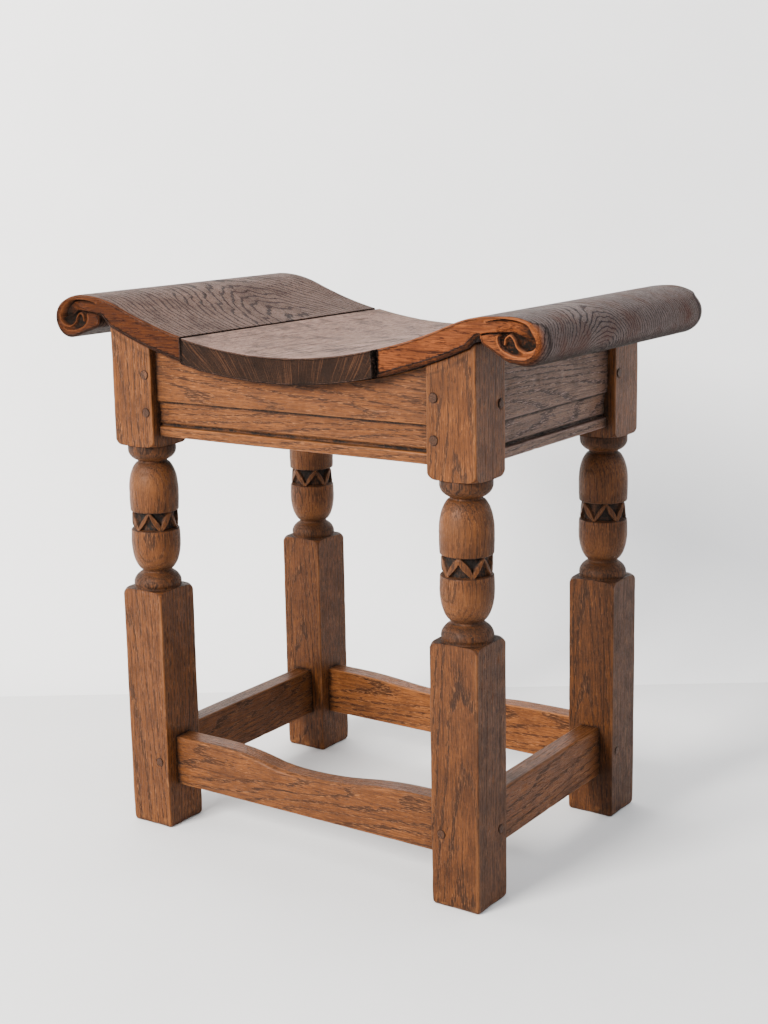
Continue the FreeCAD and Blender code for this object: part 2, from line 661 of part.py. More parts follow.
def make_scroll_board(name, side):
    """An end board of the seat, with its rolled scroll and carved ends."""
    body = doc.addObject("PartDesign::Body", name + "_body")
    outline = sketch_on(body, "XZ_Plane", name + "_outline")
    add_chain(outline, mirrored(scroll_outline(), side))
    extrude("Pad", body, outline, name + "_board", "2 * dims.board_half_depth", symmetric=True)
    for end, outward in (("front", 1), ("back", -1)):
        hollow = sketch_on(body, "XZ_Plane", f"{name}_{end}_hollow",
                           f"{outward} * dims.board_half_depth")
        add_chain(hollow, mirrored(relief_outline(), side))
        extrude("Pocket", body, hollow, f"{name}_{end}_carving", "dims.relief_depth",
                reverse=outward < 0)
    drill_board(body, name, (f"{side} * dims.end_peg_place",))
    finish_node(body, name)


def make_centre_board(name):
    """The middle board, its grain across the seat and its ends a little proud."""
    body = doc.addObject("PartDesign::Body", name + "_body")
    edge = size["seam_place"] - size["seam_gap"] / 2
    chain = [
        dish_arc(-edge, edge, TOP_RADIUS),
        line(dish_point(edge, TOP_RADIUS), dish_point(edge, UNDER_RADIUS)),
        dish_arc(edge, -edge, UNDER_RADIUS),
        line(dish_point(-edge, UNDER_RADIUS), dish_point(-edge, TOP_RADIUS)),
    ]
    outline = sketch_on(body, "XZ_Plane", name + "_outline")
    add_chain(outline, chain)
    extrude("Pad", body, outline, name + "_board", "2 * dims.centre_half_depth", symmetric=True)
    drill_board(body, name, ("-dims.centre_peg_place", "dims.centre_peg_place"))
    finish_node(body, name)


# ---------------------------------------------------------------- pegs

def make_draw_peg(name, axis, side_x, side_y, kind):
    """A round oak peg driven in from a leg's outer face."""
    inset, height, radius = PEG_ROWS[kind]
    peg = doc.addObject("Part::Cylinder", name)
    if axis == "y":
        inward = Vector(0, -side_y, 0)
        start_x = f"{side_x} * (dims.half_length - {inset})"
        start_y = f"{side_y} * (dims.half_depth + dims.peg_proud)"
    else:
        inward = Vector(-side_x, 0, 0)
        start_x = f"{side_x} * (dims.half_length + dims.peg_proud)"
        start_y = f"{side_y} * (dims.half_depth - {inset})"
    peg.Placement = FreeCAD.Placement(Vector(), FreeCAD.Rotation(UP, inward))
    peg.setExpression("Radius", radius)
    peg.setExpression("Height", "dims.peg_length + dims.peg_proud")
    peg.setExpression(".Placement.Base.x", start_x)
    peg.setExpression(".Placement.Base.y", start_y)
    peg.setExpression(".Placement.Base.z", height)
    finish_node(peg, name)


def make_seat_peg(name, place):
    """A peg that holds a seat board to the back apron, just under the seat's surface."""
    inner_edge = abs(value_of(place)) - size["seat_peg_radius"]
    bottom = seat_peg_bottom(place)
    peg = doc.addObject("Part::Cylinder", name)
    peg.Height = dish_point(inner_edge, TOP_RADIUS)[1] - bottom
    peg.Placement = FreeCAD.Placement(Vector(0, 0, bottom), FreeCAD.Rotation())
    peg.setExpression("Radius", "dims.seat_peg_radius")
    peg.setExpression(".Placement.Base.x", place)
    peg.setExpression(".Placement.Base.y", "dims.seat_peg_line")
    finish_node(peg, name)


# ---------------------------------------------------------------- assembly

CORNERS = [
    ("front_left", -1, -1),
    ("front_right", 1, -1),
    ("back_left", -1, 1),
    ("back_right", 1, 1),
]


def make_frame():
    for corner, side_x, side_y in CORNERS:
        make_leg(corner + "_leg", side_x, side_y)
    for place, along_x, side, wear in (("front", True, -1, size["front_wear"]),
                                       ("back", True, 1, size["back_wear"]),
                                       ("left", False, -1, 0),
                                       ("right", False, 1, 0)):
        make_apron(place + "_apron", along_x, side)
        make_stretcher(place + "_stretcher", along_x, side, wear)


def make_seat():
    make_scroll_board("left_seat_board", -1)
    make_centre_board("centre_seat_board")
    make_scroll_board("right_seat_board", 1)


def make_pegs():
    for corner, side_x, side_y in CORNERS:
        row, column = corner.split("_")
        for axis, facing in (("y", row), ("x", column)):
            for kind in PEGS_DRIVEN_ALONG[axis]:
                make_draw_peg(f"{corner}_leg_{facing}_{kind}", axis, side_x, side_y, kind)
    for number, place in enumerate(SEAT_PEG_PLACES, start=1):
        make_seat_peg(f"seat_peg_{number}", place)


def check_all():
    """Stop if any object failed or any sub-part isn't one sound solid."""
    for item in doc.Objects:
        if "Invalid" in item.State or "Error" in item.State:
            raise RuntimeError(f"{item.Name} failed: {item.State}")
    for item in sub_parts:
        shape = item.Shape
        if shape.isNull() or not shape.isValid() or len(shape.Solids) != 1:
            raise RuntimeError(f"{item.Label} isn't one valid solid")


make_frame()
make_seat()
make_pegs()
doc.recompute()
check_all()
os.makedirs("parts", exist_ok=True)
for item in sub_parts:
    item.Shape.exportStep(os.path.join("parts", item.Label + ".step"))
print(f"{len(sub_parts)} sub-parts written")
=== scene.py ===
import bpy
import math
import numpy as np
from mathutils import Euler, Matrix, Vector
from mathutils.geometry import delaunay_2d_cdt


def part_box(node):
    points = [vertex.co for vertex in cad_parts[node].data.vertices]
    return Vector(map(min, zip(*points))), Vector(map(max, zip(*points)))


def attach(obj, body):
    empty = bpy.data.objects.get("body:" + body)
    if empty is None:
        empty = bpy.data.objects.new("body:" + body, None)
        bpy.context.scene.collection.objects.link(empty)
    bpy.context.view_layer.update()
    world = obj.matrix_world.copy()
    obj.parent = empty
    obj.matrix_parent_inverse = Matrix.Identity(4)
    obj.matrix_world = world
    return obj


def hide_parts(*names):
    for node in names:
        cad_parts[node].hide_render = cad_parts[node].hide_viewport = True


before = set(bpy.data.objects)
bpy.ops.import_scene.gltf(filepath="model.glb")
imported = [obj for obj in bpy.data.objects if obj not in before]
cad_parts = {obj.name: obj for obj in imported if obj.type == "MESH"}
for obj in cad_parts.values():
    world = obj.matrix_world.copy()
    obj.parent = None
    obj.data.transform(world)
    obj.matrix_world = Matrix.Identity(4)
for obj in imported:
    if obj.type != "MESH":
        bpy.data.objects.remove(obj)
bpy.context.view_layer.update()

MM = 0.001

# ------------------------------------------------------------ sizes read from the frame


def node_box(name):
    """A node's lowest and highest corners, in millimetres."""
    low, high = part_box(name)
    return np.array(low) / MM, np.array(high) / MM


LEG_LOW, LEG_HIGH = node_box("front_right_leg")
LEG = LEG_HIGH[0] - LEG_LOW[0]
HALF = LEG / 2
LEG_X = (LEG_LOW[0] + LEG_HIGH[0]) / 2
LEG_Y = -(LEG_LOW[1] + LEG_HIGH[1]) / 2
FACE_X = LEG_HIGH[0]
FACE_Y = -LEG_LOW[1]

APRON_FOOT = node_box("front_apron")[0][2]
RAIL_LOW, RAIL_HIGH = node_box("left_stretcher")
FRONT_RAIL_LOW, FRONT_RAIL_HIGH = node_box("front_stretcher")

CENTRE_LOW, CENTRE_HIGH = node_box("centre_seat_board")
SCROLL_LOW, SCROLL_HIGH = node_box("right_seat_board")

# The seat's hollow and the lathe's curve: the same driving sizes as the design, in mm.
BOARD = 22.5                # thickness of the seat boards
SEAT_MIDDLE = CENTRE_LOW[2] + BOARD
DISH = 449.0                # radius of the seat's hollow
RISE = 187.0                # distance along X where the seat's underside leaves the hollow
BLOCK_LOW = 227.0           # top of a leg's lower square block
BLOCK_HIGH = 361.0          # foot of its upper square block
BAND_LOW, BAND_HIGH = 282.5, 298.5
BAND_MIDDLE, BAND_HALF = (BAND_LOW + BAND_HIGH) / 2, (BAND_HIGH - BAND_LOW) / 2
BAND_RADIUS = 22.0          # radius of a leg at its carved band
STEP = 403.4                # height of the step across an apron's face
GROOVE = 381.3              # and of the groove under its scoop


# ------------------------------------------------------------ noise


def lattice(ix, iy, iz, seed):
    """A repeatable number from 0 to 1 at each corner of a grid."""
    mixed = ix * 374761393 + iy * 668265263 + iz * 2147483647 + seed * 1274126177
    mixed = (mixed ^ (mixed >> 13)) * 1274126177
    mixed = mixed & 0x7FFFFFFF
    mixed = mixed ^ (mixed >> 16)
    return (mixed & 0xFFFF) / 65535.0


def noise(points, size, seed=0):
    """Smooth noise from -1 to 1 whose lumps are about size across, one size or three."""
    scaled = np.asarray(points, dtype=float) / np.asarray(size, dtype=float)
    whole = np.floor(scaled).astype(np.int64)
    part = scaled - whole
    part = part * part * (3 - 2 * part)
    total = 0.0
    for dx in (0, 1):
        for dy in (0, 1):
            for dz in (0, 1):
                weight = (np.where(dx, part[..., 0], 1 - part[..., 0])
                          * np.where(dy, part[..., 1], 1 - part[..., 1])
                          * np.where(dz, part[..., 2], 1 - part[..., 2]))
                corner = lattice(whole[..., 0] + dx, whole[..., 1] + dy, whole[..., 2] + dz, seed)
                total = total + weight * corner
    return total * 2 - 1


def rough(points, size, seed=0):
    """Noise in three layers, each half the size and half the strength of the last."""
    total, strength = 0.0, 1.0
    size = np.asarray(size, dtype=float)
    for layer in range(3):
        total = total + strength * noise(points, size / 2 ** layer, seed + layer * 17)
        strength *= 0.5
    return total / 1.75


def smooth(low, high, value):
    """A soft step from 0 at low to 1 at high; low may be the larger."""
    part = np.clip((value - low) / (high - low), 0, 1)
    return part * part * (3 - 2 * part)


def bump(distance, width):
    """One at no distance, falling to nothing past about twice the width."""
    return np.exp(-(distance / width) ** 2)


# ------------------------------------------------------------ mesh building


def joined(*parts):
    """Arrays side by side as coordinates, stretched to one shape where they differ."""
    return np.stack(np.broadcast_arrays(*parts), axis=-1)


def add_object(name, data):
    """A new object in the scene for a mesh, light or camera."""
    item = bpy.data.objects.new(name, data)
    bpy.context.collection.objects.link(item)
    return item


def make_piece(name, verts, faces, grime_and_shade, wear_and_highlight, node, material):
    """A mesh in metres, from vertices in millimetres, standing for one CAD node."""
    mesh = bpy.data.meshes.new(name)
    verts = np.asarray(verts, dtype=float) * MM
    mesh.from_pydata(verts.tolist(), [], [tuple(int(i) for i in face) for face in faces])
    for label, values in (("grime_and_shade", grime_and_shade), ("wear_and_highlight", wear_and_highlight)):
        layer = mesh.attributes.new(label, "FLOAT", "POINT")
        layer.data.foreach_set("value", np.clip(values, 0, 1).astype(np.float32))
    mesh.validate()
    mesh.update()
    mesh.shade_smooth()
    piece = add_object(name, mesh)
    mesh.materials.append(material)
    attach(piece, "root")
    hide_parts(node)


def grid_faces(rows, columns):
    """Quads over rows that each close on themselves."""
    row = np.arange(rows - 1)[:, None]
    column = np.arange(columns)[None, :]
    following = (column + 1) % columns
    near = row * columns
    quads = joined(near + column, near + following,
                      near + columns + following, near + columns + column)
    return quads.reshape(-1, 4)


def tube_faces(rows, columns):
    """A tube's faces, closed by a fan at each end to the two vertices that follow its rows."""
    faces = grid_faces(rows, columns).tolist()
    centre = rows * columns
    for start in (0, centre - columns):
        for index in range(columns):
            near, far = start + index, start + (index + 1) % columns
            faces.append((near, far, centre + 1) if start else (far, near, centre))
    return faces


# ------------------------------------------------------------ the seat's curve


def dish(x, drop=0.0):
    """Height of the seat's top at X, or of the curve that lies drop below it."""
    radius = DISH + drop
    return SEAT_MIDDLE + DISH - np.sqrt(radius * radius - np.asarray(x, dtype=float) ** 2)


# ------------------------------------------------------------ materials


class Tree:
    """Short names for building a node tree."""

    def __init__(self, tree):
        self.tree = tree

    def node(self, kind, **settings):
        item = self.tree.nodes.new(kind)
        for key, value in settings.items():
            setattr(item, key, value)
        return item

    def put(self, socket, value):
        if isinstance(value, bpy.types.NodeSocket):
            self.tree.links.new(value, socket)
        else:
            socket.default_value = value

    def fill(self, item, values):
        """Puts a value, or the socket it comes from, into each named input."""
        for label, value in values.items():
            self.put(item.inputs[label], value)

    def math(self, operation, first, second=0.0, third=0.0, clamp=False):
        item = self.node("ShaderNodeMath", operation=operation, use_clamp=clamp)
        for socket, value in zip(item.inputs, (first, second, third)):
            self.put(socket, value)
        return item.outputs[0]

    def times(self, first, second):
        return self.math("MULTIPLY", first, second)

    def vector(self, operation, first, second=(0, 0, 0), third=(0, 0, 0)):
        item = self.node("ShaderNodeVectorMath", operation=operation)
        for socket, value in zip(item.inputs, (first, second, third)):
            self.put(socket, value)
        return item.outputs[0]

    def mix(self, amount, first, second):
        """A blend of two colours; inputs 6 and 7 and output 2 are the colour sockets."""
        item = self.node("ShaderNodeMix", data_type="RGBA")
        for index, value in ((0, amount), (6, first), (7, second)):
            self.put(item.inputs[index], value)
        return item.outputs[2]

    def noise(self, vector, scale=1.0, detail=2.0, roughness=0.5, result="Fac"):
        item = self.node("ShaderNodeTexNoise")
        self.fill(item, {"Vector": vector, "Scale": scale, "Detail": detail, "Roughness": roughness})
        return item.outputs[result]

    def bump(self, height, strength, distance):
        item = self.node("ShaderNodeBump")
        self.fill(item, {"Height": height, "Strength": strength, "Distance": distance})
        return item.outputs[0]

    def split(self, vector):
        item = self.node("ShaderNodeSeparateXYZ")
        self.put(item.inputs[0], vector)
        return item.outputs

    def fade(self, value, low, high, out_low=0.0, out_high=1.0):
        item = self.node("ShaderNodeMapRange", interpolation_type="SMOOTHSTEP")
        for socket, number in zip(item.inputs, (value, low, high, out_low, out_high)):
            self.put(socket, number)
        return item.outputs[0]


def new_material(name):
    """A material, its tree, its shader and its object coordinates in metres."""
    material = bpy.data.materials.new(name)
    material.use_nodes = True
    t = Tree(material.node_tree)
    place = t.node("ShaderNodeTexCoord").outputs["Object"]
    return material, t, material.node_tree.nodes["Principled BSDF"], place


def oak_group():
    """Solid oak round a pith along Z: rings, fibres, pores and rays. Coordinates in mm."""
    group = bpy.data.node_groups.new("oak", "ShaderNodeTree")
    face = group.interface
    face.new_socket("Vector", in_out="INPUT", socket_type="NodeSocketVector")
    for name in ("Light", "Middle", "Dark"):
        face.new_socket(name, in_out="INPUT", socket_type="NodeSocketColor")
    for name in ("Ring width", "Ray strength", "Ring strength", "Fleck strength"):
        face.new_socket(name, in_out="INPUT", socket_type="NodeSocketFloat")
    face.new_socket("Color", in_out="OUTPUT", socket_type="NodeSocketColor")
    face.new_socket("Height", in_out="OUTPUT", socket_type="NodeSocketFloat")
    t = Tree(group)
    given = t.node("NodeGroupInput").outputs
    out = t.node("NodeGroupOutput").inputs

    # The trunk isn't a perfect cone: long slow waves and a fine waver along the grain.
    slow = t.noise(t.vector("MULTIPLY", given["Vector"], (0.018, 0.018, 0.0045)), result="Color")
    shift = t.vector("MULTIPLY", t.vector("SUBTRACT", slow, (0.5, 0.5, 0.5)), (8, 8, 0))
    bent = t.vector("ADD", given["Vector"], shift)
    x, y, z = t.split(bent)
    radius = t.math("SQRT", t.math("ADD", t.times(x, x), t.times(y, y)))
    angle = t.math("ARCTAN2", y, x)

    def drawn_out(across, along, **settings):
        """Noise that's much longer along the grain than across it."""
        return t.noise(t.vector("MULTIPLY", bent, (across, across, along)), **settings)

    # A trunk tapers, so a flat cut shows arches that climb along the grain.
    tapered = t.math("MULTIPLY_ADD", z, 0.035, radius)
    rings = t.math("DIVIDE", tapered, given["Ring width"])
    uneven = drawn_out(0.07, 0.006, detail=1.0)
    rings = t.math("ADD", rings, t.times(uneven, 1.8))
    phase = t.math("FRACT", rings)
    early = t.times(t.fade(phase, 0.0, 0.06), t.fade(phase, 0.12, 0.46, 1.0, 0.0))
    late = t.fade(phase, 0.55, 0.97)

    fibres = drawn_out(1.3, 0.022, detail=4.0, roughness=0.68)
    threads = drawn_out(2.1, 0.055, detail=3.0, roughness=0.62)
    dashes = drawn_out(1.35, 0.12, detail=3.0, roughness=0.60)
    drawn = t.math("MINIMUM", t.times(given["Ring strength"], 0.57), 0.24)
    crowd = t.math("MULTIPLY_ADD", early, drawn, -0.05)
    broken = t.times(early, t.fade(dashes, 0.40, 0.56, 0.35, 1.0))
    pores = t.fade(t.math("ADD", dashes, crowd), 0.52, 0.60)
    elsewhere = t.vector("MULTIPLY_ADD", bent, (1.4, 1.4, 0.15), (31, 57, 11))
    dust = t.noise(elsewhere, detail=2.0, roughness=0.6)
    flecks = t.fade(t.math("ADD", dust, crowd), 0.56, 0.66)
    flecks = t.times(flecks, given["Fleck strength"])
    furrows = drawn_out(0.55, 0.007, detail=3.0)
    streaks = t.fade(furrows, 0.50, 0.60)
    cracks = t.fade(furrows, 0.655, 0.69)

    polar = t.node("ShaderNodeCombineXYZ")
    t.put(polar.inputs[0], t.times(angle, 125.0))
    t.put(polar.inputs[1], t.times(radius, 0.02))
    t.put(polar.inputs[2], t.times(z, 0.11))
    rays = t.fade(t.noise(polar.outputs[0], detail=2.0, roughness=0.5), 0.56, 0.66)
    rays = t.times(rays, given["Ray strength"])

    patches = drawn_out(0.035, 0.009, detail=3.0, roughness=0.6)
    pale = t.vector("MULTIPLY", given["Light"], (2.3, 2.1, 1.9))
    dusty = t.vector("MULTIPLY", given["Light"], (1.8, 2.1, 2.9))
    tone = t.fade(fibres, 0.36, 0.66)
    middle, dark = given["Middle"], given["Dark"]
    color = t.mix(tone, middle, given["Light"])
    for amount, layer in ((t.times(late, 0.25), middle),
                          (t.fade(patches, 0.42, 0.74, 0.0, 0.6), middle),
                          (t.fade(threads, 0.46, 0.70, 0.0, 0.52), dark),
                          (t.times(streaks, 0.26), dark),
                          (t.times(broken, given["Ring strength"]), dark),
                          (t.times(rays, 0.5), pale), (flecks, dusty),
                          (t.times(pores, 0.80), dark),
                          (t.times(cracks, 0.5), dark)):
        color = t.mix(amount, color, layer)
    height = t.math("MULTIPLY_ADD", fibres, 0.5, 0.3)
    for layer, gain in ((pores, -0.75), (streaks, -0.25), (rays, 0.12), (cracks, -0.9)):
        height = t.math("MULTIPLY_ADD", layer, gain, height)
    t.put(out["Color"], color)
    t.put(out["Height"], height)
    return group


OAK = oak_group()
# Near-black brown for real dirt and for painted shade in hollows, gaps and under parts.
SHADE_AND_GRIME_COLOUR = (0.0065, 0.0045, 0.0034, 1)
# Turns each grain direction onto the group's Z.
GRAIN_TURN = {"z": (0, 0, 0), "x": (0, math.radians(-90), 0), "y": (math.radians(90), 0, 0)}


RING_STRENGTH = 0.30        # how dark the early wood's pores are, unless a material changes it
RELIEF = 0.5                # strength of the grain's bump
RELIEF_DEPTH = 0.0006       # and its depth, in metres


def oak(name, grain, pith, light, middle, dark, ring=2.6, ray=0.3, gloss=0.37, shine=0.14,
        fleck=0.45):
    """An aged, waxed oak whose grain runs along one axis, through the pith's place in mm."""
    material, t, shader, place = new_material(name)
    mapping = t.node("ShaderNodeMapping", vector_type="POINT")
    t.put(mapping.inputs["Vector"], place)
    mapping.inputs["Rotation"].default_value = GRAIN_TURN[grain]
    mapping.inputs["Scale"].default_value = (1 / MM, 1 / MM, 1 / MM)
    turned = Euler(GRAIN_TURN[grain]).to_matrix() @ Vector(pith)
    mapping.inputs["Location"].default_value = -turned
    wood = t.node("ShaderNodeGroup")
    wood.node_tree = OAK
    t.put(wood.inputs["Vector"], mapping.outputs[0])
    t.fill(wood, {"Light": (*light, 1), "Middle": (*middle, 1), "Dark": (*dark, 1), "Ring width": ring,
                  "Ray strength": ray, "Ring strength": RING_STRENGTH, "Fleck strength": fleck})

    # The mesh's dirt attribute darkens the oak: real dirt, and painted shade in hollows, gaps and under
    # parts.
    grime_and_shade = t.node("ShaderNodeAttribute", attribute_name="grime_and_shade").outputs["Fac"]
    wear_and_highlight = t.node("ShaderNodeAttribute", attribute_name="wear_and_highlight").outputs["Fac"]
    blotch = t.noise(place, scale=38.0, detail=4.0, roughness=0.65)
    speckle = t.noise(place, scale=420.0, detail=2.0)
    color = wood.outputs["Color"]
    color = t.mix(t.fade(blotch, 0.42, 0.76, 0.0, 0.70), color, (*[v * 0.55 for v in middle], 1))
    # The wear attribute lightens the oak: worn arrises, and painted highlights along the carved volute's
    # ridge and edges.
    worn = t.times(wear_and_highlight, t.fade(blotch, 0.25, 0.62, 0.35, 1.0))
    rubbed_and_highlight = [value * gain for value, gain in zip(light, (1.6, 1.8, 2.3))]
    color = t.mix(t.times(worn, 0.7), color, (*rubbed_and_highlight, 1))
    stain_and_shade = t.math("MULTIPLY", grime_and_shade, t.fade(speckle, 0.30, 0.62, 0.72, 1.15), clamp=True)
    color = t.mix(stain_and_shade, color, SHADE_AND_GRIME_COLOUR)
    t.put(shader.inputs["Base Color"], color)

    rough_value = t.math("MULTIPLY_ADD", wood.outputs["Height"], -0.16, gloss + 0.10)
    rough_value = t.math("MULTIPLY_ADD", stain_and_shade, 0.25, rough_value)
    rough_value = t.math("MULTIPLY_ADD", blotch, 0.12, t.math("SUBTRACT", rough_value, 0.06))
    t.put(shader.inputs["Roughness"], rough_value)
    shader.inputs["IOR"].default_value = 1.45
    shader.inputs["Specular IOR Level"].default_value = shine
    relief = t.math("MULTIPLY_ADD", speckle, 0.12, wood.outputs["Height"])
    t.put(shader.inputs["Normal"], t.bump(relief, RELIEF, RELIEF_DEPTH))
    return material


# Light, middle and dark colour of each kind of surface.
TAN = ((0.164, 0.0545, 0.0132), (0.085, 0.0275, 0.0073), (0.0115, 0.0056, 0.0034))
RED = ((0.190, 0.054, 0.014), (0.088, 0.024, 0.0075), (0.013, 0.0050, 0.0034))
# Seat tops: the wood's colour with painted sheen, greyer, cooler or paler where the polished top reflects
# the room.
SHEEN_TOP = ((0.140, 0.074, 0.052), (0.078, 0.040, 0.027), (0.006, 0.0036, 0.0030))
COOL_SHEEN_TOP = ((0.120, 0.082, 0.072), (0.067, 0.044, 0.037), (0.006, 0.0041, 0.0037))
PALE_SHEEN_TOP = ((0.272, 0.154, 0.113), (0.176, 0.097, 0.070), (0.034, 0.0190, 0.0145))
CENTRE_END = ((0.028, 0.0125, 0.0062), (0.0095, 0.0048, 0.0030), (0.0032, 0.0021, 0.0018))
# Greyer oak for the right apron: dust, and the painted cool reflection its face shows.
SHEEN_AND_DUST_GREY = ((0.160, 0.086, 0.055), (0.086, 0.045, 0.029), (0.014, 0.0090, 0.0072))

# ------------------------------------------------------------ dirt and painted shade from the neighbours


def box_distance(points, low, high):
    """How far each point is from a box, zero inside."""
    outside = np.maximum(np.maximum(low - points, points - high), 0)
    return np.sqrt((outside ** 2).sum(axis=-1))


def most(*layers):
    """The strongest of several layers of dirt, painted shade and wear at each point."""
    strongest = layers[0]
    for layer in layers[1:]:
        strongest = np.maximum(strongest, layer)
    return strongest


def signed_area(x, z):
    """Twice the area inside a closed outline: positive when it runs anticlockwise."""
    return (x * np.roll(z, -1, axis=-1) - np.roll(x, -1, axis=-1) * z).sum(axis=-1)


def joint_shade_and_dirt(points, neighbours, reach=2.6):
    """Darker where a piece meets its neighbours: dirt, and painted shade where the parts shade each other.
    """
    return most(*[np.exp(-box_distance(points, *node_box(name)) / reach) for name in neighbours])


# ------------------------------------------------------------ legs

NECK = 13.3                 # radius of the thinnest turned part
WIDE = 60.0                 # a turned radius wider than the square: the lathe never touched it
TRIM_FROM = 440.0           # rows above this height are squeezed to end under the seat
TOP_CLEAR = 0.25            # gap between a leg's top and the seat
SHOULDER = 8.2              # radius of the rounded corners of the blocks
SHOULDER_SLOPE = 0.35       # fall of a block's end before it rounds over


def steps(low, high, step):
    """Evenly spaced values from low to high, about step apart."""
    count = max(2, int(round((high - low) / step)) + 1)
    return np.linspace(low, high, count)


def swelling(w, first, second):
    """A rounded rise from 0 to 1 as w goes from 0 to 1."""
    return (1 - (1 - np.clip(w, 0, 1)) ** first) ** second


def shoulder():
    """How far a block's end falls away at each turned radius, from its faces to its corners."""
    start = math.hypot(HALF, HALF - SHOULDER)
    falls = [(SHOULDER_SLOPE * share, HALF + 0.2 + (start - HALF) * share)
             for share in np.linspace(0, 0.9, 6)]
    for turn in np.radians(np.linspace(6, 90, 20)):
        along = HALF - SHOULDER + SHOULDER * math.sin(turn)
        falls.append((SHOULDER_SLOPE + SHOULDER * (1 - math.cos(turn)), math.hypot(HALF, along)))
    return falls


def leg_rows():
    """Height and turned radius of every row up a leg."""
    rows = [(z, WIDE) for z in (0.0, 0.35, 0.8, 1.4, 2.4, 4.0)]
    spans = [(6.5, 38.0, 2.4), (38.8, 57.5, 1.8), (58.0, 68.0, 0.55), (69.0, 90.0, 1.8),
             (92.0, BLOCK_LOW - SHOULDER - 1.5, 2.4)]
    for low, high, step in spans:
        rows += [(z, WIDE) for z in steps(low, high, step)]
    rows += [(BLOCK_LOW - drop, reach) for drop, reach in shoulder()[::-1]]
    rows += [(BLOCK_LOW + 0.05, 22.5), (BLOCK_LOW - 0.5, 21.2), (BLOCK_LOW + 0.5, 21.3)]
    for z in steps(BLOCK_LOW + 1.0, BLOCK_LOW + 14.5, 0.5):
        v = (z - BLOCK_LOW - 4.0) / 11.0
        fall = np.abs(v) ** (2.1 if v > 0 else 2.0) * (1.0 if v > 0 else 1.6)
        rows.append((z, NECK + 8.6 * np.clip(1 - fall, 0, 1) ** 0.86))
    low_end, high_end = BLOCK_LOW + 16.5, BLOCK_HIGH - 16.5
    heights = np.concatenate([steps(low_end, low_end + 26, 0.6), steps(low_end + 27, BAND_LOW - 2, 0.8),
                              steps(BAND_LOW - 1.5, BAND_HIGH + 1.5, 0.32),
                              steps(BAND_HIGH + 2.2, high_end - 27, 0.8),
                              steps(high_end - 26, high_end, 0.6)])
    for z in heights:
        w = np.minimum(z - low_end, high_end - z) / 28
        waist = 0.75 * bump(z - BAND_MIDDLE, 13)
        rows.append((z, NECK + 9.4 * swelling(w, 2.2, 0.62) - waist))
    for z in steps(BLOCK_HIGH - 15, BLOCK_HIGH - 0.8, 0.55):
        w = (z - (BLOCK_HIGH - 15)) / 11
        rows.append((z, NECK + 8.7 * swelling(w, 2.4, 0.8)))
    rows += [(BLOCK_HIGH - 0.3, 21.3), (BLOCK_HIGH + 0.5, 21.2), (BLOCK_HIGH - 0.05, 22.5)]
    rows += [(BLOCK_HIGH + drop, reach) for drop, reach in shoulder()]
    for low, high, step in ((BLOCK_HIGH + 10.5, 387, 2.2), (388, 398, 0.6), (399.5, 414, 2.0),
                            (415, 432, 0.6), (433.5, 472, 2.0)):
        rows += [(z, WIDE) for z in steps(low, high, step)]
    return np.array(rows)


def leg_angles():
    """Columns round a leg, closer together at the square's corners."""
    quarter = np.concatenate([np.linspace(-45, -38, 13)[:-1], np.linspace(-38, 38, 57)[:-1],
                              np.linspace(38, 45, 13)[:-1]])
    return np.radians(np.concatenate([quarter + 90 * side for side in range(4)]))


def square_reach(angle, corner):
    """Distance from the axis to a square with rounded corners, at each angle."""
    local = (angle + np.pi / 4) % (np.pi / 2) - np.pi / 4
    flat = HALF / np.cos(local)
    centre = (HALF - corner) * math.sqrt(2)
    from_corner = np.pi / 4 - np.abs(local)
    across = corner ** 2 - (centre * np.sin(from_corner)) ** 2
    rounded = centre * np.cos(from_corner) + np.sqrt(np.maximum(across, 0))
    on_round = HALF * np.tan(np.abs(local)) > HALF - corner
    return np.where(on_round, rounded, flat)


def chip_depth(angle, z, turn):
    """Chip-carved band: triangles sunk either side of a raised zigzag ribbon."""
    wobble = 0.45 * np.sin(angle * 5 + 3 * turn) + 0.35 * np.sin(angle * 11 + 2 * turn)
    phase = ((angle + turn + 0.05 * np.sin(angle * 2)) / (np.pi / 3)) % 1.0
    zigzag = 1 - 4 * np.abs(phase - 0.5)
    centre = BAND_MIDDLE + zigzag * (BAND_HALF + 0.6) + wobble
    lean = math.atan2(4 * BAND_HALF, BAND_RADIUS * np.pi / 3)
    # Each bar of the zigzag is a leaf, cut to a slant and thinner at its ends.
    ends = np.abs(z - BAND_MIDDLE) / BAND_HALF
    leaf = (2.35 + 0.5 * np.sin(3 * angle + 5 * turn)) * (1 - 0.62 * np.clip(ends, 0, 1) ** 1.8)
    across = (z - centre) * math.cos(lean)
    from_ribbon = np.abs(across) - leaf
    from_edge = BAND_HALF + 0.5 - np.abs(z - BAND_MIDDLE - 0.3 * wobble)
    inside = np.minimum(from_ribbon, from_edge)
    slant = 0.45 * smooth(-leaf, leaf, across) * smooth(-0.2, 0.7, from_edge)
    sunk = 3.0 * smooth(0.0, 0.8, inside)
    floor_slope = 0.5 * smooth(0, 4, inside)
    dip = 0.75 * smooth(0.2, 1.6, from_edge)
    dip = dip + 1.1 * smooth(2.2, 0.0, from_edge) * smooth(-0.1, 0.2, from_edge)
    return sunk + floor_slope + dip + slant, inside


PEG_APRON, PEG_RAIL, SEAT_PEG = 4.0, 3.75, 4.5      # radii of the pegs
PEG_LENGTH, SEAT_PEG_LENGTH = 30.0, 46.0    # and how deep they go
APRON_PEG_IN, RAIL_PEG_IN = 39, 36          # how far they stand in from a leg's other face
LONG_APRON_PEGS, SHORT_APRON_PEG, RAIL_PEG = (427, 393), 420, 63    # their heights


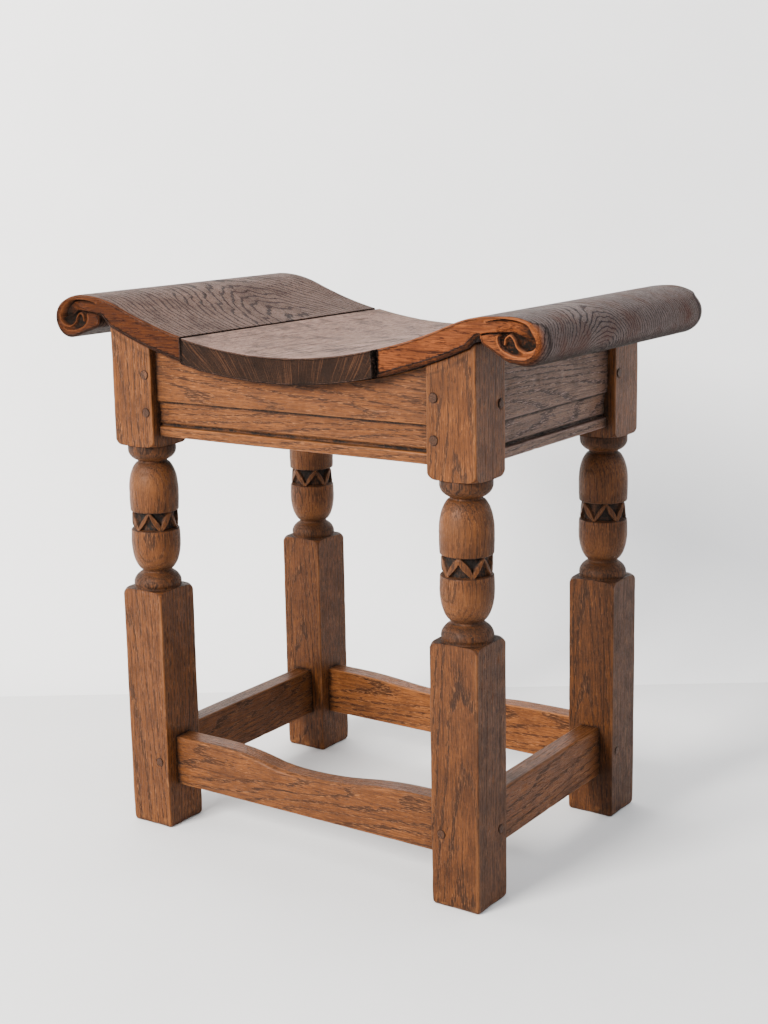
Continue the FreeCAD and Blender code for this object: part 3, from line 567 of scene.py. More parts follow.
def peg_marks(points, pegs):
    """Gap and dirt round each peg head that a piece carries."""
    groove = np.zeros(points.shape[:-1])
    for centre, axis, radius in pegs:
        across = [i for i in range(3) if i != axis]
        apart = np.sqrt(sum((points[..., i] - centre[i]) ** 2 for i in across))
        near = np.abs(points[..., axis] - centre[axis]) < 2
        groove = np.maximum(groove, np.where(near, bump(apart - radius, 0.55), 0))
    return groove


# For each leg: where the zigzag starts (radians), how much darker its lower part is (a stain, and on the
# back right leg also painted shade), and how light its wood.
CHIP_TURN = {"front_left": 0.62, "front_right": -0.20, "back_left": 0.25, "back_right": 0.48}
LEG_LOW_DARKENING = {"front_left": 0.06, "front_right": 0.36, "back_left": 0.20, "back_right": 0.44}
LEG_TONE = {"front_left": 0.88, "front_right": 0.86, "back_left": 0.95, "back_right": 0.80}


def make_leg(corner, side_x, side_y, seed):
    """A leg: rows of the lathe's curve cut from a square with worn corners."""
    rows = leg_rows()
    angle = leg_angles()[None, :]
    angle, z, turned = np.broadcast_arrays(angle, rows[:, :1], rows[:, 1:])
    centre_x, centre_y = side_x * LEG_X, side_y * LEG_Y

    # Worn corners: each arris has its own rounding, which grows towards the floor.
    arris = np.floor(angle / (np.pi / 2)).astype(int) % 4
    along = joined(arris * 50.0, z, 0.0)
    corner_round = 1.15 + 0.55 * rough(along, (20, 34, 20), seed) + 1.3 * bump(z, 7)
    corner_round += 1.0 * np.maximum(0, noise(along, (20, 13, 20), seed + 3) - 0.45)
    square = square_reach(angle, np.clip(corner_round, 0.5, 4.0))
    reach = np.minimum(square, turned)
    on_lathe = turned < square
    points = joined(reach * np.cos(angle), reach * np.sin(angle), z)

    # Hand-planed faces are slightly hollow and dented; turned parts ripple a little.
    plane = 0.16 * (rough(points, (30, 30, 70), seed + 5) - 1)
    dent = np.maximum(0, noise(points, (9, 9, 14), seed + 9) - 0.62) * 1.5
    ripple = 0.10 * (noise(points, (14, 14, 2.5), seed + 11) - 1)
    reach = reach + np.where(on_lathe, ripple, plane - dent)
    foot = bump(z, 1.1)
    reach = reach - 1.3 * foot * (1 + 0.4 * noise(points, 9, seed + 21))

    depth, inside = chip_depth(angle, z, CHIP_TURN[corner])
    from_middle = np.abs(z - BAND_MIDDLE)
    depth = np.where(inside > -3, depth, 0) * smooth(0, 0.3, BAND_HALF + 0.4 - from_middle)
    line = bump(z - BAND_LOW + 0.5, 0.5) + bump(z - BAND_HIGH - 0.5, 0.5)
    reach = reach - depth - 0.55 * line

    points = joined(centre_x + reach * np.cos(angle), centre_y + reach * np.sin(angle), z)
    pegs = leg_pegs(side_x, side_y)
    ring = peg_marks(points, pegs)
    shrink = 1 - 0.45 * ring / np.maximum(reach, 1)
    points[..., 0] = centre_x + (points[..., 0] - centre_x) * shrink
    points[..., 1] = centre_y + (points[..., 1] - centre_y) * shrink

    # The top is cut to the seat's underside.
    top = leg_top(np.abs(points[..., 0])) - TOP_CLEAR
    share = np.clip((z - TRIM_FROM) / (rows[-1, 0] - TRIM_FROM), 0, 1)
    points[..., 2] = np.where(z > TRIM_FROM, TRIM_FROM + share * (top - TRIM_FROM), z)

    chips = smooth(0.15, 1.0, inside) * (depth > 0.5)
    in_band = smooth(BAND_HALF + 0.4, BAND_HALF - 0.6, from_middle)
    capsule = on_lathe & (z > BLOCK_LOW + 16) & (z < BLOCK_HIGH - 16)
    bead = (smooth(BLOCK_LOW + 17, BLOCK_LOW + 12, z) * on_lathe
            + smooth(BLOCK_HIGH - 16, BLOCK_HIGH - 9, z) * (on_lathe & (z < BLOCK_HIGH)))
    creases = [0.85 * bump(z - height, width) * on_lathe
               for height, width in ((BLOCK_LOW + 0.2, 1.0), (BLOCK_HIGH - 0.2, 1.0),
                                     (BLOCK_LOW + 15.5, 2.0), (BLOCK_HIGH - 16, 2.0))]
    row, column = corner.split("_")
    near = [f"{row}_apron", f"{row}_stretcher", f"{column}_apron", f"{column}_stretcher"]
    # Darkening on a leg: painted shade with some dirt in the chip pockets, cut lines and creases, at the
    # rails and under the seat; darker turned parts and beads; a darker lower part; dirt at the foot.
    grime_and_shade = most(
        1.25 * chips, 0.95 * line, in_band * (0.12 + 0.8 * smooth(-0.7, 0.3, inside)),
        0.25 * capsule * (1 + 0.6 * noise(points, (12, 12, 15), seed + 61)),
        0.55 * bump(z - BLOCK_LOW - 18, 7.0) * capsule, 0.55 * bump(z - BLOCK_HIGH + 18, 7.0) * capsule,
        *creases, 0.9 * joint_shade_and_dirt(points, near),
        0.5 * bump(leg_top(np.abs(points[..., 0])) - z, 2.6),
        LEG_LOW_DARKENING[corner] * smooth(BLOCK_HIGH + 5, BLOCK_LOW - 20, z),
        0.64 * bead * (z > BLOCK_LOW), ring, 0.35 * bump(z, 5))
    grime_and_shade = grime_and_shade * (0.8 + 0.35 * noise(points, (6, 6, 11), seed + 31))
    edge_on = smooth(0.93, 1.0, square / (HALF * math.sqrt(2) - 0.42 * corner_round)) * (~on_lathe)
    scuff = smooth(0.1, 0.55, noise(points, (4, 4, 2.5), seed + 71)) * smooth(16, 2, z)
    swell = bump(z - BAND_LOW + 26, 16) + bump(z - BAND_HIGH - 26, 16)
    wear_and_highlight = most(
        0.65 * edge_on * (0.50 + 0.8 * noise(points, (7, 7, 24), seed + 41)),
        0.35 * smooth(-0.9, -0.3, inside) * smooth(0.4, -0.2, inside) * in_band, 0.9 * scuff,
        0.30 * swell * (1 + noise(points, (12, 12, 18), seed + 51)))

    verts = np.vstack([points.reshape(-1, 3), [centre_x, centre_y, 0.0],
                       [centre_x, centre_y, float(leg_top(abs(centre_x)) - TOP_CLEAR)]])
    grime_and_shade = np.append(grime_and_shade.reshape(-1), [0.5, 0.5])
    wear_and_highlight = np.append(wear_and_highlight.reshape(-1), [0, 0])
    colours = [[LEG_TONE[corner] * value for value in shade] for shade in TAN]
    pith = (centre_x + side_x * (30 - 9 * seed), centre_y - side_y * (34 + 5 * seed), 40 * seed)
    material = oak(f"oak_{corner}_leg", "z", pith, *colours, ring=2.4 + 0.25 * (seed % 3))
    make_piece(f"{corner}_leg_wood", verts, tube_faces(*z.shape), grime_and_shade, wear_and_highlight, f"{corner}_leg",
               material)


def leg_top(x):
    """Height of the seat's underside over a leg: the dish, then a straight climb to the hook."""
    mouth_x, mouth_z = 196.7, 477.1
    foot = float(dish(RISE, BOARD))
    climb = foot + (x - RISE) * (mouth_z - foot) / (mouth_x - RISE)
    return np.where(x < RISE, dish(np.minimum(x, RISE), BOARD), climb)


def leg_pegs(side_x, side_y):
    """Centre, axis and radius of every peg head on a leg's outer faces."""
    x, y = side_x * (FACE_X - APRON_PEG_IN), side_y * (FACE_Y - APRON_PEG_IN)
    rail_x, rail_y = side_x * (FACE_X - RAIL_PEG_IN), side_y * (FACE_Y - RAIL_PEG_IN)
    front, side = side_y * FACE_Y, side_x * FACE_X
    high, low = LONG_APRON_PEGS
    return [
        ((x, front, high), 1, PEG_APRON), ((x, front, low), 1, PEG_APRON),
        ((rail_x, front, RAIL_PEG), 1, PEG_RAIL), ((side, y, SHORT_APRON_PEG), 0, PEG_APRON),
        ((side, rail_y, RAIL_PEG), 0, PEG_RAIL),
    ]


# ------------------------------------------------------------ rails


def resample(points, step):
    """The same closed outline with a point about every step; corners are kept."""
    result = []
    count = len(points)
    for index in range(count):
        start, end = np.array(points[index]), np.array(points[(index + 1) % count])
        pieces = max(1, int(round(np.linalg.norm(end - start) / step)))
        for piece in range(pieces):
            result.append(start + (end - start) * piece / pieces)
    return np.array(result)


def round_corners(outline, radius, passes=3):
    """Softens the corners of a sampled outline by averaging along it."""
    smoothed = outline.copy()
    for _ in range(passes):
        before, after = np.roll(smoothed, 1, axis=0), np.roll(smoothed, -1, axis=0)
        smoothed = smoothed * (1 - radius) + (before + after) * radius / 2
    return smoothed


def apron_outline():
    """Section of an apron: distance in from its outer face, and height."""
    low = APRON_FOOT
    scoop = [(1.9, STEP - 0.6)]
    for share in np.linspace(0.1, 0.9, 9):
        scoop.append((1.9 + 1.5 * math.sin(share * math.pi * 0.72), STEP - 0.6 - share * 16.5))
    outline = [(APRON_THICK, low), (APRON_THICK, APRON_BLANK), (0, APRON_BLANK), (0, STEP)] + scoop
    outline += [(3.0, GROOVE + 3.2), (4.9, GROOVE + 0.4), (4.7, GROOVE - 0.3), (1.5, GROOVE - 1.0),
                (1.0, GROOVE - 2.0), (1.1, low + 1.2), (2.0, low)]
    return outline


SET_BACK = {"apron": 7.7, "stretcher": 13}      # from the legs' outer faces
APRON_BLANK = 450           # height of an apron before its top is cut to the seat
APRON_THICK = 22


def rail_face(kind, along_x):
    """Distance of a rail's outer face from the middle of the bench."""
    return (FACE_Y if along_x else FACE_X) - SET_BACK[kind]


def make_rail(kind, place, along_x, side, seed, outline_at, step, extra_dirt_and_shade, colours, ring, pith_at):
    """A rail swept between its legs; outline_at gives its section at every station.

    pith_at gives how far out of its face the pith of its tree lies, and how high.
    """
    face = rail_face(kind, along_x)
    half = (LEG_X if along_x else LEG_Y) - HALF + 0.6
    stations = np.linspace(-half, half, int(2 * half / step))
    ends = ("left", "right") if along_x else ("front", "back")
    neighbours = [f"{place}_{end}_leg" if along_x else f"{end}_{place}_leg" for end in ends]
    out, up = side * (face + pith_at[0]), pith_at[1]
    pith = (0, out, up) if along_x else (out, 0, up)
    material = oak(f"oak_{place}_{kind}", "x" if along_x else "y", pith, *colours, ring=ring)
    sections = np.array([outline_at(u) for u in stations])
    count_rows, count_columns = sections.shape[:2]
    inward, height = sections[..., 0], sections[..., 1]
    along = np.array(stations)[:, None] + 0 * inward
    tangent = np.roll(sections, -1, axis=1) - np.roll(sections, 1, axis=1)
    length = np.maximum(np.linalg.norm(tangent, axis=-1), 1e-6)
    normal = joined(tangent[..., 1], -tangent[..., 0]) / length[..., None]
    middle = np.array([inward.mean(), height.mean()])
    facing = ((sections - middle) * normal).sum(axis=-1).mean()
    normal = normal * (1 if facing > 0 else -1)
    spot = joined(along, inward * 3, height)
    push = 0.22 * (rough(spot, (60, 30, 24), seed) - 1)
    push -= 1.3 * np.maximum(0, noise(spot, (16, 20, 7), seed + 4) - 0.66)
    push += 0.10 * (noise(spot, (34, 6, 2.2), seed + 6) - 1)
    inward = inward + normal[..., 0] * push
    height = height + normal[..., 1] * push
    across = side * (face - inward)
    if along_x:
        points = joined(along, across, height)
    else:
        points = joined(across, along, height)
    # Painted shade and dirt where the rail meets its legs, and the moulding's or bar's own darkening.
    grime_and_shade = 0.95 * joint_shade_and_dirt(points, neighbours, 6.5)
    grime_and_shade = np.maximum(grime_and_shade, extra_dirt_and_shade(inward, height, along))
    grime_and_shade *= 0.8 + 0.35 * noise(points, 8, seed + 8)
    before, after = np.roll(normal, 1, axis=1), np.roll(normal, -1, axis=1)
    bend = np.linalg.norm(before - after, axis=-1)
    turn = before[..., 0] * after[..., 1] - before[..., 1] * after[..., 0]
    area = signed_area(inward, height).mean()
    convex = np.clip(turn * (1 if area > 0 else -1), 0, 1) * np.clip(bend, 0, 1)
    wear_and_highlight = 1.5 * convex * (0.75 + 0.5 * noise(spot, (22, 9, 9), seed + 12))
    faces = grid_faces(count_rows, count_columns)
    outward = (area > 0) == (side * (1 if along_x else -1) > 0)
    faces = faces if outward else faces[:, ::-1]
    faces = faces.tolist()
    first = list(range(count_columns))
    last = list(range((count_rows - 1) * count_columns, count_rows * count_columns))
    faces.append(first if not outward else first[::-1])
    faces.append(last[::-1] if not outward else last)
    make_piece(f"{place}_{kind}_wood", points.reshape(-1, 3), faces, grime_and_shade.reshape(-1),
               wear_and_highlight.reshape(-1), f"{place}_{kind}", material)


def make_apron(place, along_x, side, seed):
    """An apron: a moulded board between two legs, cut on top to the seat's underside."""
    face = rail_face("apron", along_x)
    cut = STEP + 2
    base = round_corners(resample(apron_outline(), 0.75), 0.35, 2)

    def outline_at(u):
        section = base.copy()
        upper = section[:, 1] > cut
        where = np.abs(u) + 0 * section[:, 0] if along_x else np.abs(face - section[:, 0])
        top = leg_top(where) - 0.3
        share = (section[:, 1] - cut) / (APRON_BLANK - cut)
        section[:, 1] = np.where(upper, cut + share * (top - cut), section[:, 1])
        return section

    def moulding_dirt_and_shade(inward, height, along):
        # Dark in the groove (dirt and painted shade), a painted shadow line under the step, painted shade
        # under the seat and on the inner face.
        deep = 1.2 * bump(height - GROOVE - 0.8, 2.0) * smooth(1.8, 3.0, inward) * (inward < 8)
        under_step = 1.2 * bump(height - STEP + 1.0, 1.3) * (inward < 8)
        from_seat = leg_top(np.abs(along) if along_x else np.abs(face - inward)) - height
        return most(0.97 * deep, under_step, 0.55 * smooth(9, 1, from_seat), 0.35 * (inward > 18))

    make_rail("apron", place, along_x, side, seed, outline_at, 1.5, moulding_dirt_and_shade,
              SHEEN_AND_DUST_GREY if place == "right" else TAN, 3.1, (35, (345 if along_x else 330) + 3 * seed))


def foot_wear(u, deep, flip):
    """How far feet have worn a long stretcher's top down, along its length."""
    u = u * flip
    width = 52 if u < 0 else 72
    return deep * math.exp(-abs(u / width) ** 2.6)


def make_stretcher(place, along_x, side, deep, flip, seed):
    """A stretcher: a plain bar whose top is worn by feet to the given depth."""
    low, top = RAIL_LOW[2], RAIL_HIGH[2]
    thick = FRONT_RAIL_HIGH[1] - FRONT_RAIL_LOW[1]
    base = resample([(thick, low), (thick, top), (0, top), (0, low)], 0.8)

    def outline_at(u):
        worn = foot_wear(u, deep, flip)
        section = base.copy()
        share = (section[:, 1] - low) / (top - low)
        section[:, 1] = low + share * (top - worn - low)
        # Soles round the outer top arris far more than the other three.
        soft = 1.2 + 0.35 * worn + (1.0 if deep else 1.8)
        for corner, radius in (((0, top - worn), soft), ((thick, top - worn), 1.3),
                               ((0, low), 1.0), ((thick, low), 0.9)):
            sign_in = 1 if corner[0] == 0 else -1
            sign_up = -1 if corner[1] > low else 1
            centre = np.array([corner[0] + sign_in * radius, corner[1] + sign_up * radius])
            out = (section - centre) * np.array([-sign_in, -sign_up])
            far = np.linalg.norm(section - centre, axis=1)
            inside = (out[:, 0] > 0) & (out[:, 1] > 0) & (far > radius)
            section[inside] = centre + (section[inside] - centre) * (radius / far[inside])[:, None]
        return section

    def rail_dirt_and_shade(inward, height, along):
        # Painted shade towards the underside and on the inner face; less where feet have polished the top.
        worn = np.vectorize(lambda u: foot_wear(u, deep, flip))(along)
        polish = 0.10 * smooth(3, 9, worn)
        return 0.22 * smooth(low + 5, low, height) + 0.18 * (inward > thick - 2) - polish

    light, middle, dark = TAN
    if place == "back":
        light, middle = [v * 1.65 for v in light], [v * 1.65 for v in middle]
    make_rail("stretcher", place, along_x, side, seed, outline_at, 1.3, rail_dirt_and_shade,
              (light, middle, dark), 2.7, (-75, 15 + 2 * seed if along_x else 120 - seed))


# ------------------------------------------------------------ seat boards

CREST_X, CREST_Z = 221.0, 496.5
SHOULDER_R = 47.0           # radius of the crest's outer side
HOOK = 199.2                # distance along X at which the rolled end stops, facing the leg
SLIT_HIGH = 481.6           # top of the slit between hook and band
SEAM_BACK, SEAM_BACK_LOW = 0.9, 0.15        # the seams are V-shaped: set back on top and below
SEAM_REACH = 112            # nearer the middle than this, an upright face belongs to a seam
CREST_DROP = 2.3            # how far the right crest droops towards the front
CAP_GAP, CARVED_GAP = 2.2, 0.5              # between a board end's points, and where it's carved


def arc_points(centre, radius, first, last, step):
    """Points along an arc, its ends given in degrees."""
    count = max(3, int(abs(math.radians(last - first)) * radius / step))
    turn = np.radians(np.linspace(first, last, count))
    return joined(centre[0] + radius * np.cos(turn), centre[1] + radius * np.sin(turn))


def line_points(start, end, step):
    """Points along a straight line, both ends included."""
    start, end = np.array(start, dtype=float), np.array(end, dtype=float)
    count = max(2, int(np.linalg.norm(end - start) / step) + 1)
    return start + (end - start) * np.linspace(0, 1, count)[:, None]


def dish_points(first, last, drop, step):
    """Points along the seat's hollow, or along the curve that lies drop below it."""
    count = int(abs(last - first) / step) + 2
    x = np.linspace(first, last, count)
    return joined(x, dish(np.abs(x), drop))


def scroll_outline(shoulder_turn, roll_radius, roll_fall, softness):
    """Outline of a scroll board on the right, and the rounding of its ends at each point."""
    step = 0.75
    seam, seam_low = SCROLL_LOW[0] + SEAM_BACK, SCROLL_LOW[0] + SEAM_BACK_LOW
    turn = 2 * math.atan2(CREST_Z - SEAT_MIDDLE, CREST_X)
    crest = CREST_X / math.sin(turn) - DISH
    join = DISH * math.sin(turn)
    fall = 90 - shoulder_turn
    shoulder_centre = (CREST_X, CREST_Z - SHOULDER_R)
    lean = math.radians(fall)
    roll_centre = (CREST_X + (SHOULDER_R - roll_radius) * math.cos(lean),
                   CREST_Z - SHOULDER_R + (SHOULDER_R - roll_radius) * math.sin(lean))
    roll = arc_points(roll_centre, roll_radius, fall, -90 - roll_fall, step)
    nose_x = HOOK + 5.5
    nose_z = roll[-1, 1] + math.tan(math.radians(roll_fall)) * (roll[-1, 0] - nose_x)
    mouth = (HOOK - 2.0, float(leg_top(HOOK - 2.0)) + 0.4)
    hook = curve([(nose_x - 0.7, nose_z + 0.25), (HOOK + 2.4, nose_z + 1.7), (HOOK + 0.5, nose_z + 4.6),
                  (HOOK, nose_z + 8.2), (HOOK + 0.5, mouth[1] + 0.2)], 6)
    parts = [
        (dish_points(seam, join, 0, step), 1.3),
        (arc_points((CREST_X, CREST_Z - crest), crest, 90 + math.degrees(turn), 90, step), 1.3),
        (arc_points(shoulder_centre, SHOULDER_R, 90, fall, step), 2.2),
        (roll, softness),
        (line_points(roll[-1], (nose_x, nose_z), step), 2.0),
        (hook, 1.6),
        (line_points(mouth, (RISE, float(dish(RISE, BOARD))), step)[:-1], 3.0),
        (dish_points(RISE, seam_low, BOARD, step * 1.6), 3.4),
        (line_points((seam_low, float(dish(seam_low, BOARD)) + 0.8), (seam, float(dish(seam))), step)[:-1],
         0.5),
    ]
    outline = np.vstack([points for points, _ in parts])
    rounding = np.concatenate([np.full(len(points), radius) for points, radius in parts])
    kept = np.linalg.norm(outline - np.roll(outline, 1, axis=0), axis=1) > 0.12
    outline, rounding = outline[kept], rounding[kept]
    for _ in range(40):
        rounding = (np.roll(rounding, 1) + 2 * rounding + np.roll(rounding, -1)) / 4
    return outline, rounding


def inward_normals(outline):
    """Unit vectors that point into a closed outline, at each of its points."""
    tangent = np.roll(outline, -1, axis=0) - np.roll(outline, 1, axis=0)
    tangent /= np.maximum(np.linalg.norm(tangent, axis=1), 1e-9)[:, None]
    sign = 1 if signed_area(*outline.T) > 0 else -1
    return sign * joined(-tangent[:, 1], tangent[:, 0])


def inside_outline(points, outline):
    """Which points lie inside a closed outline."""
    x, z = points[:, 0][:, None], points[:, 1][:, None]
    x0, z0 = outline[:, 0][None, :], outline[:, 1][None, :]
    x1, z1 = np.roll(outline[:, 0], -1)[None, :], np.roll(outline[:, 1], -1)[None, :]
    crosses = (z0 > z) != (z1 > z)
    reach = x0 + (z - z0) * (x1 - x0) / np.where(z1 == z0, 1e-9, z1 - z0)
    return ((crosses & (x < reach)).sum(axis=1) % 2) == 1


def line_distance(points, path, closed=False):
    """Shortest distance from each point to a path of straight pieces."""
    path = np.asarray(path, dtype=float)
    start = path if closed else path[:-1]
    end = np.roll(path, -1, axis=0) if closed else path[1:]
    step = end - start
    length = np.maximum((step ** 2).sum(axis=1), 1e-12)
    away = points[:, None, :] - start[None]
    share = np.clip((away * step[None]).sum(axis=2) / length[None], 0, 1)
    gap = away - share[..., None] * step[None]
    return np.sqrt((gap ** 2).sum(axis=2)).min(axis=1)


def curve(points, per_span=8):
    """A smooth path through the points."""
    points = np.asarray(points, dtype=float)
    padded = np.vstack([2 * points[0] - points[1], points, 2 * points[-1] - points[-2]])
    result = []
    for index in range(1, len(padded) - 2):
        a, b, c, d = padded[index - 1:index + 3]
        for share in np.linspace(0, 1, per_span, endpoint=False):
            result.append(0.5 * (2 * b + (c - a) * share + (2 * a - 5 * b + 4 * c - d) * share ** 2
                                 + (3 * b - a - 3 * c + d) * share ** 3))
    result.append(padded[-2])
    return np.array(result)


# The carved volute, seen from the front of the right scroll, in mm.
RIM_EDGE = curve([(203.2, 489.6), (212.5, 491.3), (221.6, 492.0), (233.6, 491.0), (242.2, 486.2),
                  (247.2, 479.4), (247.9, 474.1), (244.8, 469.6), (237.3, 467.4)])
CURL = curve([(237.3, 467.4), (231.0, 470.6), (228.0, 476.4), (224.4, 479.7), (220.6, 477.2),
              (219.8, 472.8)])
CURL_FOOT = curve([(214.4, 479.6), (214.2, 474.6), (217.2, 469.6), (222.4, 466.4), (229.0, 464.4),
                   (238.5, 463.7), (244.6, 465.8)])
TONGUE = curve([(214.4, 481.8), (220.0, 482.4), (227.0, 482.6), (233.0, 479.6), (239.0, 477.0),
                (246.6, 475.2)])
SLIT = curve([(197.0, 478.2), (203.0, 479.9), (209.0, 480.6), (215.5, 480.7)])


def volute(points):
    """Depth, dirt with painted shade, and painted highlight of the carving at each point of the right
    scroll's end.
    """
    inner_rim = RIM_EDGE[RIM_EDGE[:, 1] < TONGUE[-1, 1]]
    hollow_loop = np.vstack([TONGUE, inner_rim, CURL[1:], CURL_FOOT[:1]])
    tongue_loop = np.vstack([RIM_EDGE[RIM_EDGE[:, 1] > TONGUE[-1, 1]], TONGUE[::-1]])
    channel_loop = np.vstack([CURL_FOOT, CURL])
    depth = np.zeros(len(points))
    x = points[:, 0]

    # The band's tongue dives in under the rim, parted from it by a groove that widens.
    in_tongue = inside_outline(points, tongue_loop)
    to_rim = line_distance(points, RIM_EDGE)
    start = smooth(201.5, 216, x)
    sink = 7.0 * smooth(212, 246, x)
    tongue_edge = 1.6 * bump(line_distance(points, TONGUE), 1.8) * smooth(208, 222, x)
    groove = (0.5 + 2.8 * start) * bump(to_rim - 0.3, 0.5 + 0.9 * start) * smooth(201.5, 204.5, x)
    depth = np.where(in_tongue, sink + tongue_edge + groove, depth)

    # The hollow under the tongue, and the bowl between the curl and the hook.
    in_hollow = inside_outline(points, hollow_loop)
    walls = np.minimum(line_distance(points, TONGUE), line_distance(points, inner_rim))
    shallow, deepest = np.maximum(sink, 2.6), 7.6
    depth = np.where(in_hollow, shallow + (deepest - shallow) * smooth(0, 2.4, walls), depth)
    in_channel = inside_outline(points, channel_loop) & ~in_hollow
    to_foot = line_distance(points, CURL_FOOT)
    bowl = (4.6 - 3.4 * smooth(226, 240, x)) * smooth(0, 1.9, to_foot)
    depth = np.where(in_channel, bowl, depth)

    # The curl is a thin raised lip with a rounded top; the slit parts hook and band.
    lip = bump(line_distance(points, CURL), 1.05)
    depth = depth * (1 - 0.86 * lip) + 0.55 * lip * smooth(0, 1, depth)
    slit = bump(line_distance(points, SLIT), 0.55 + 0.35 * smooth(203, 214, x))
    depth = np.maximum(depth, 4.0 * slit)
    edge = np.minimum(to_rim, to_foot)
    outside = ~(in_tongue | in_hollow | in_channel)
    depth = np.where(outside & (slit < 0.2), 0.9 * bump(edge, 1.5), depth)

    # Darker the deeper the carving: dirt, and painted shade in its hollows.
    dirt_and_shade = smooth(1.4, 4.2, depth) * 0.96
    tongue_dirt_and_shade = np.maximum(0.97 * bump(to_rim - 0.4, 0.7 + 0.7 * start) * smooth(202, 207, x),
                             0.9 * smooth(228, 241, x))
    dirt_and_shade = np.where(in_tongue, tongue_dirt_and_shade, dirt_and_shade)
    dirt_and_shade = np.maximum(dirt_and_shade * (1 - 0.8 * lip), 0.95 * slit)
    # shine is a painted highlight along the curl's ridge and the carving's outer edges.
    shine = 0.9 * bump(line_distance(points, CURL), 0.9) + 0.95 * np.where(outside, bump(edge, 1.0), 0)
    return depth, dirt_and_shade, shine * (1 - slit)


def end_cap(outline, spacing, fine_zone):
    """Points and triangles that fill a flat end; the outline's points come first."""
    low, high = outline.min(axis=0), outline.max(axis=0)
    pieces = []
    zones = [(low, high, spacing, False)] + ([(*fine_zone, CARVED_GAP, True)] if fine_zone else [])
    for zone_low, zone_high, gap, fine in zones:
        xs = np.arange(zone_low[0], zone_high[0], gap)
        zs = np.arange(zone_low[1], zone_high[1], gap * 0.866)
        grid_x, grid_z = np.meshgrid(xs, zs)
        spots = joined(grid_x + (np.arange(len(zs)) % 2)[:, None] * gap / 2, grid_z).reshape(-1, 2)
        if fine_zone and not fine:
            in_zone = ((spots > np.array(fine_zone[0]) - gap * 0.4) & (
                spots < np.array(fine_zone[1]) + gap * 0.4)).all(axis=1)
            spots = spots[~in_zone]
        spots = spots[inside_outline(spots, outline)]
        spots = spots[line_distance(spots, outline, closed=True) > 0.45 * gap]
        pieces.append(spots)
    interior = np.vstack(pieces)
    count = len(outline)
    spots = np.vstack([outline, interior])
    coordinates = [Vector((float(x), float(z))) for x, z in spots]
    edges = [(index, (index + 1) % count) for index in range(count)]
    verts, _edges, faces, origins, _, _ = delaunay_2d_cdt(coordinates, edges, [], 1, 1e-6)
    where = []
    for vert, origin in zip(verts, origins):
        nearest = ((spots - np.array(vert)) ** 2).sum(axis=1).argmin() if not origin else origin[0]
        where.append(int(nearest))
    triangles = np.array([[where[index] for index in face] for face in faces])
    distinct = ((triangles[:, 0] != triangles[:, 1]) & (triangles[:, 1] != triangles[:, 2])
                & (triangles[:, 2] != triangles[:, 0]))
    return interior, triangles[distinct]


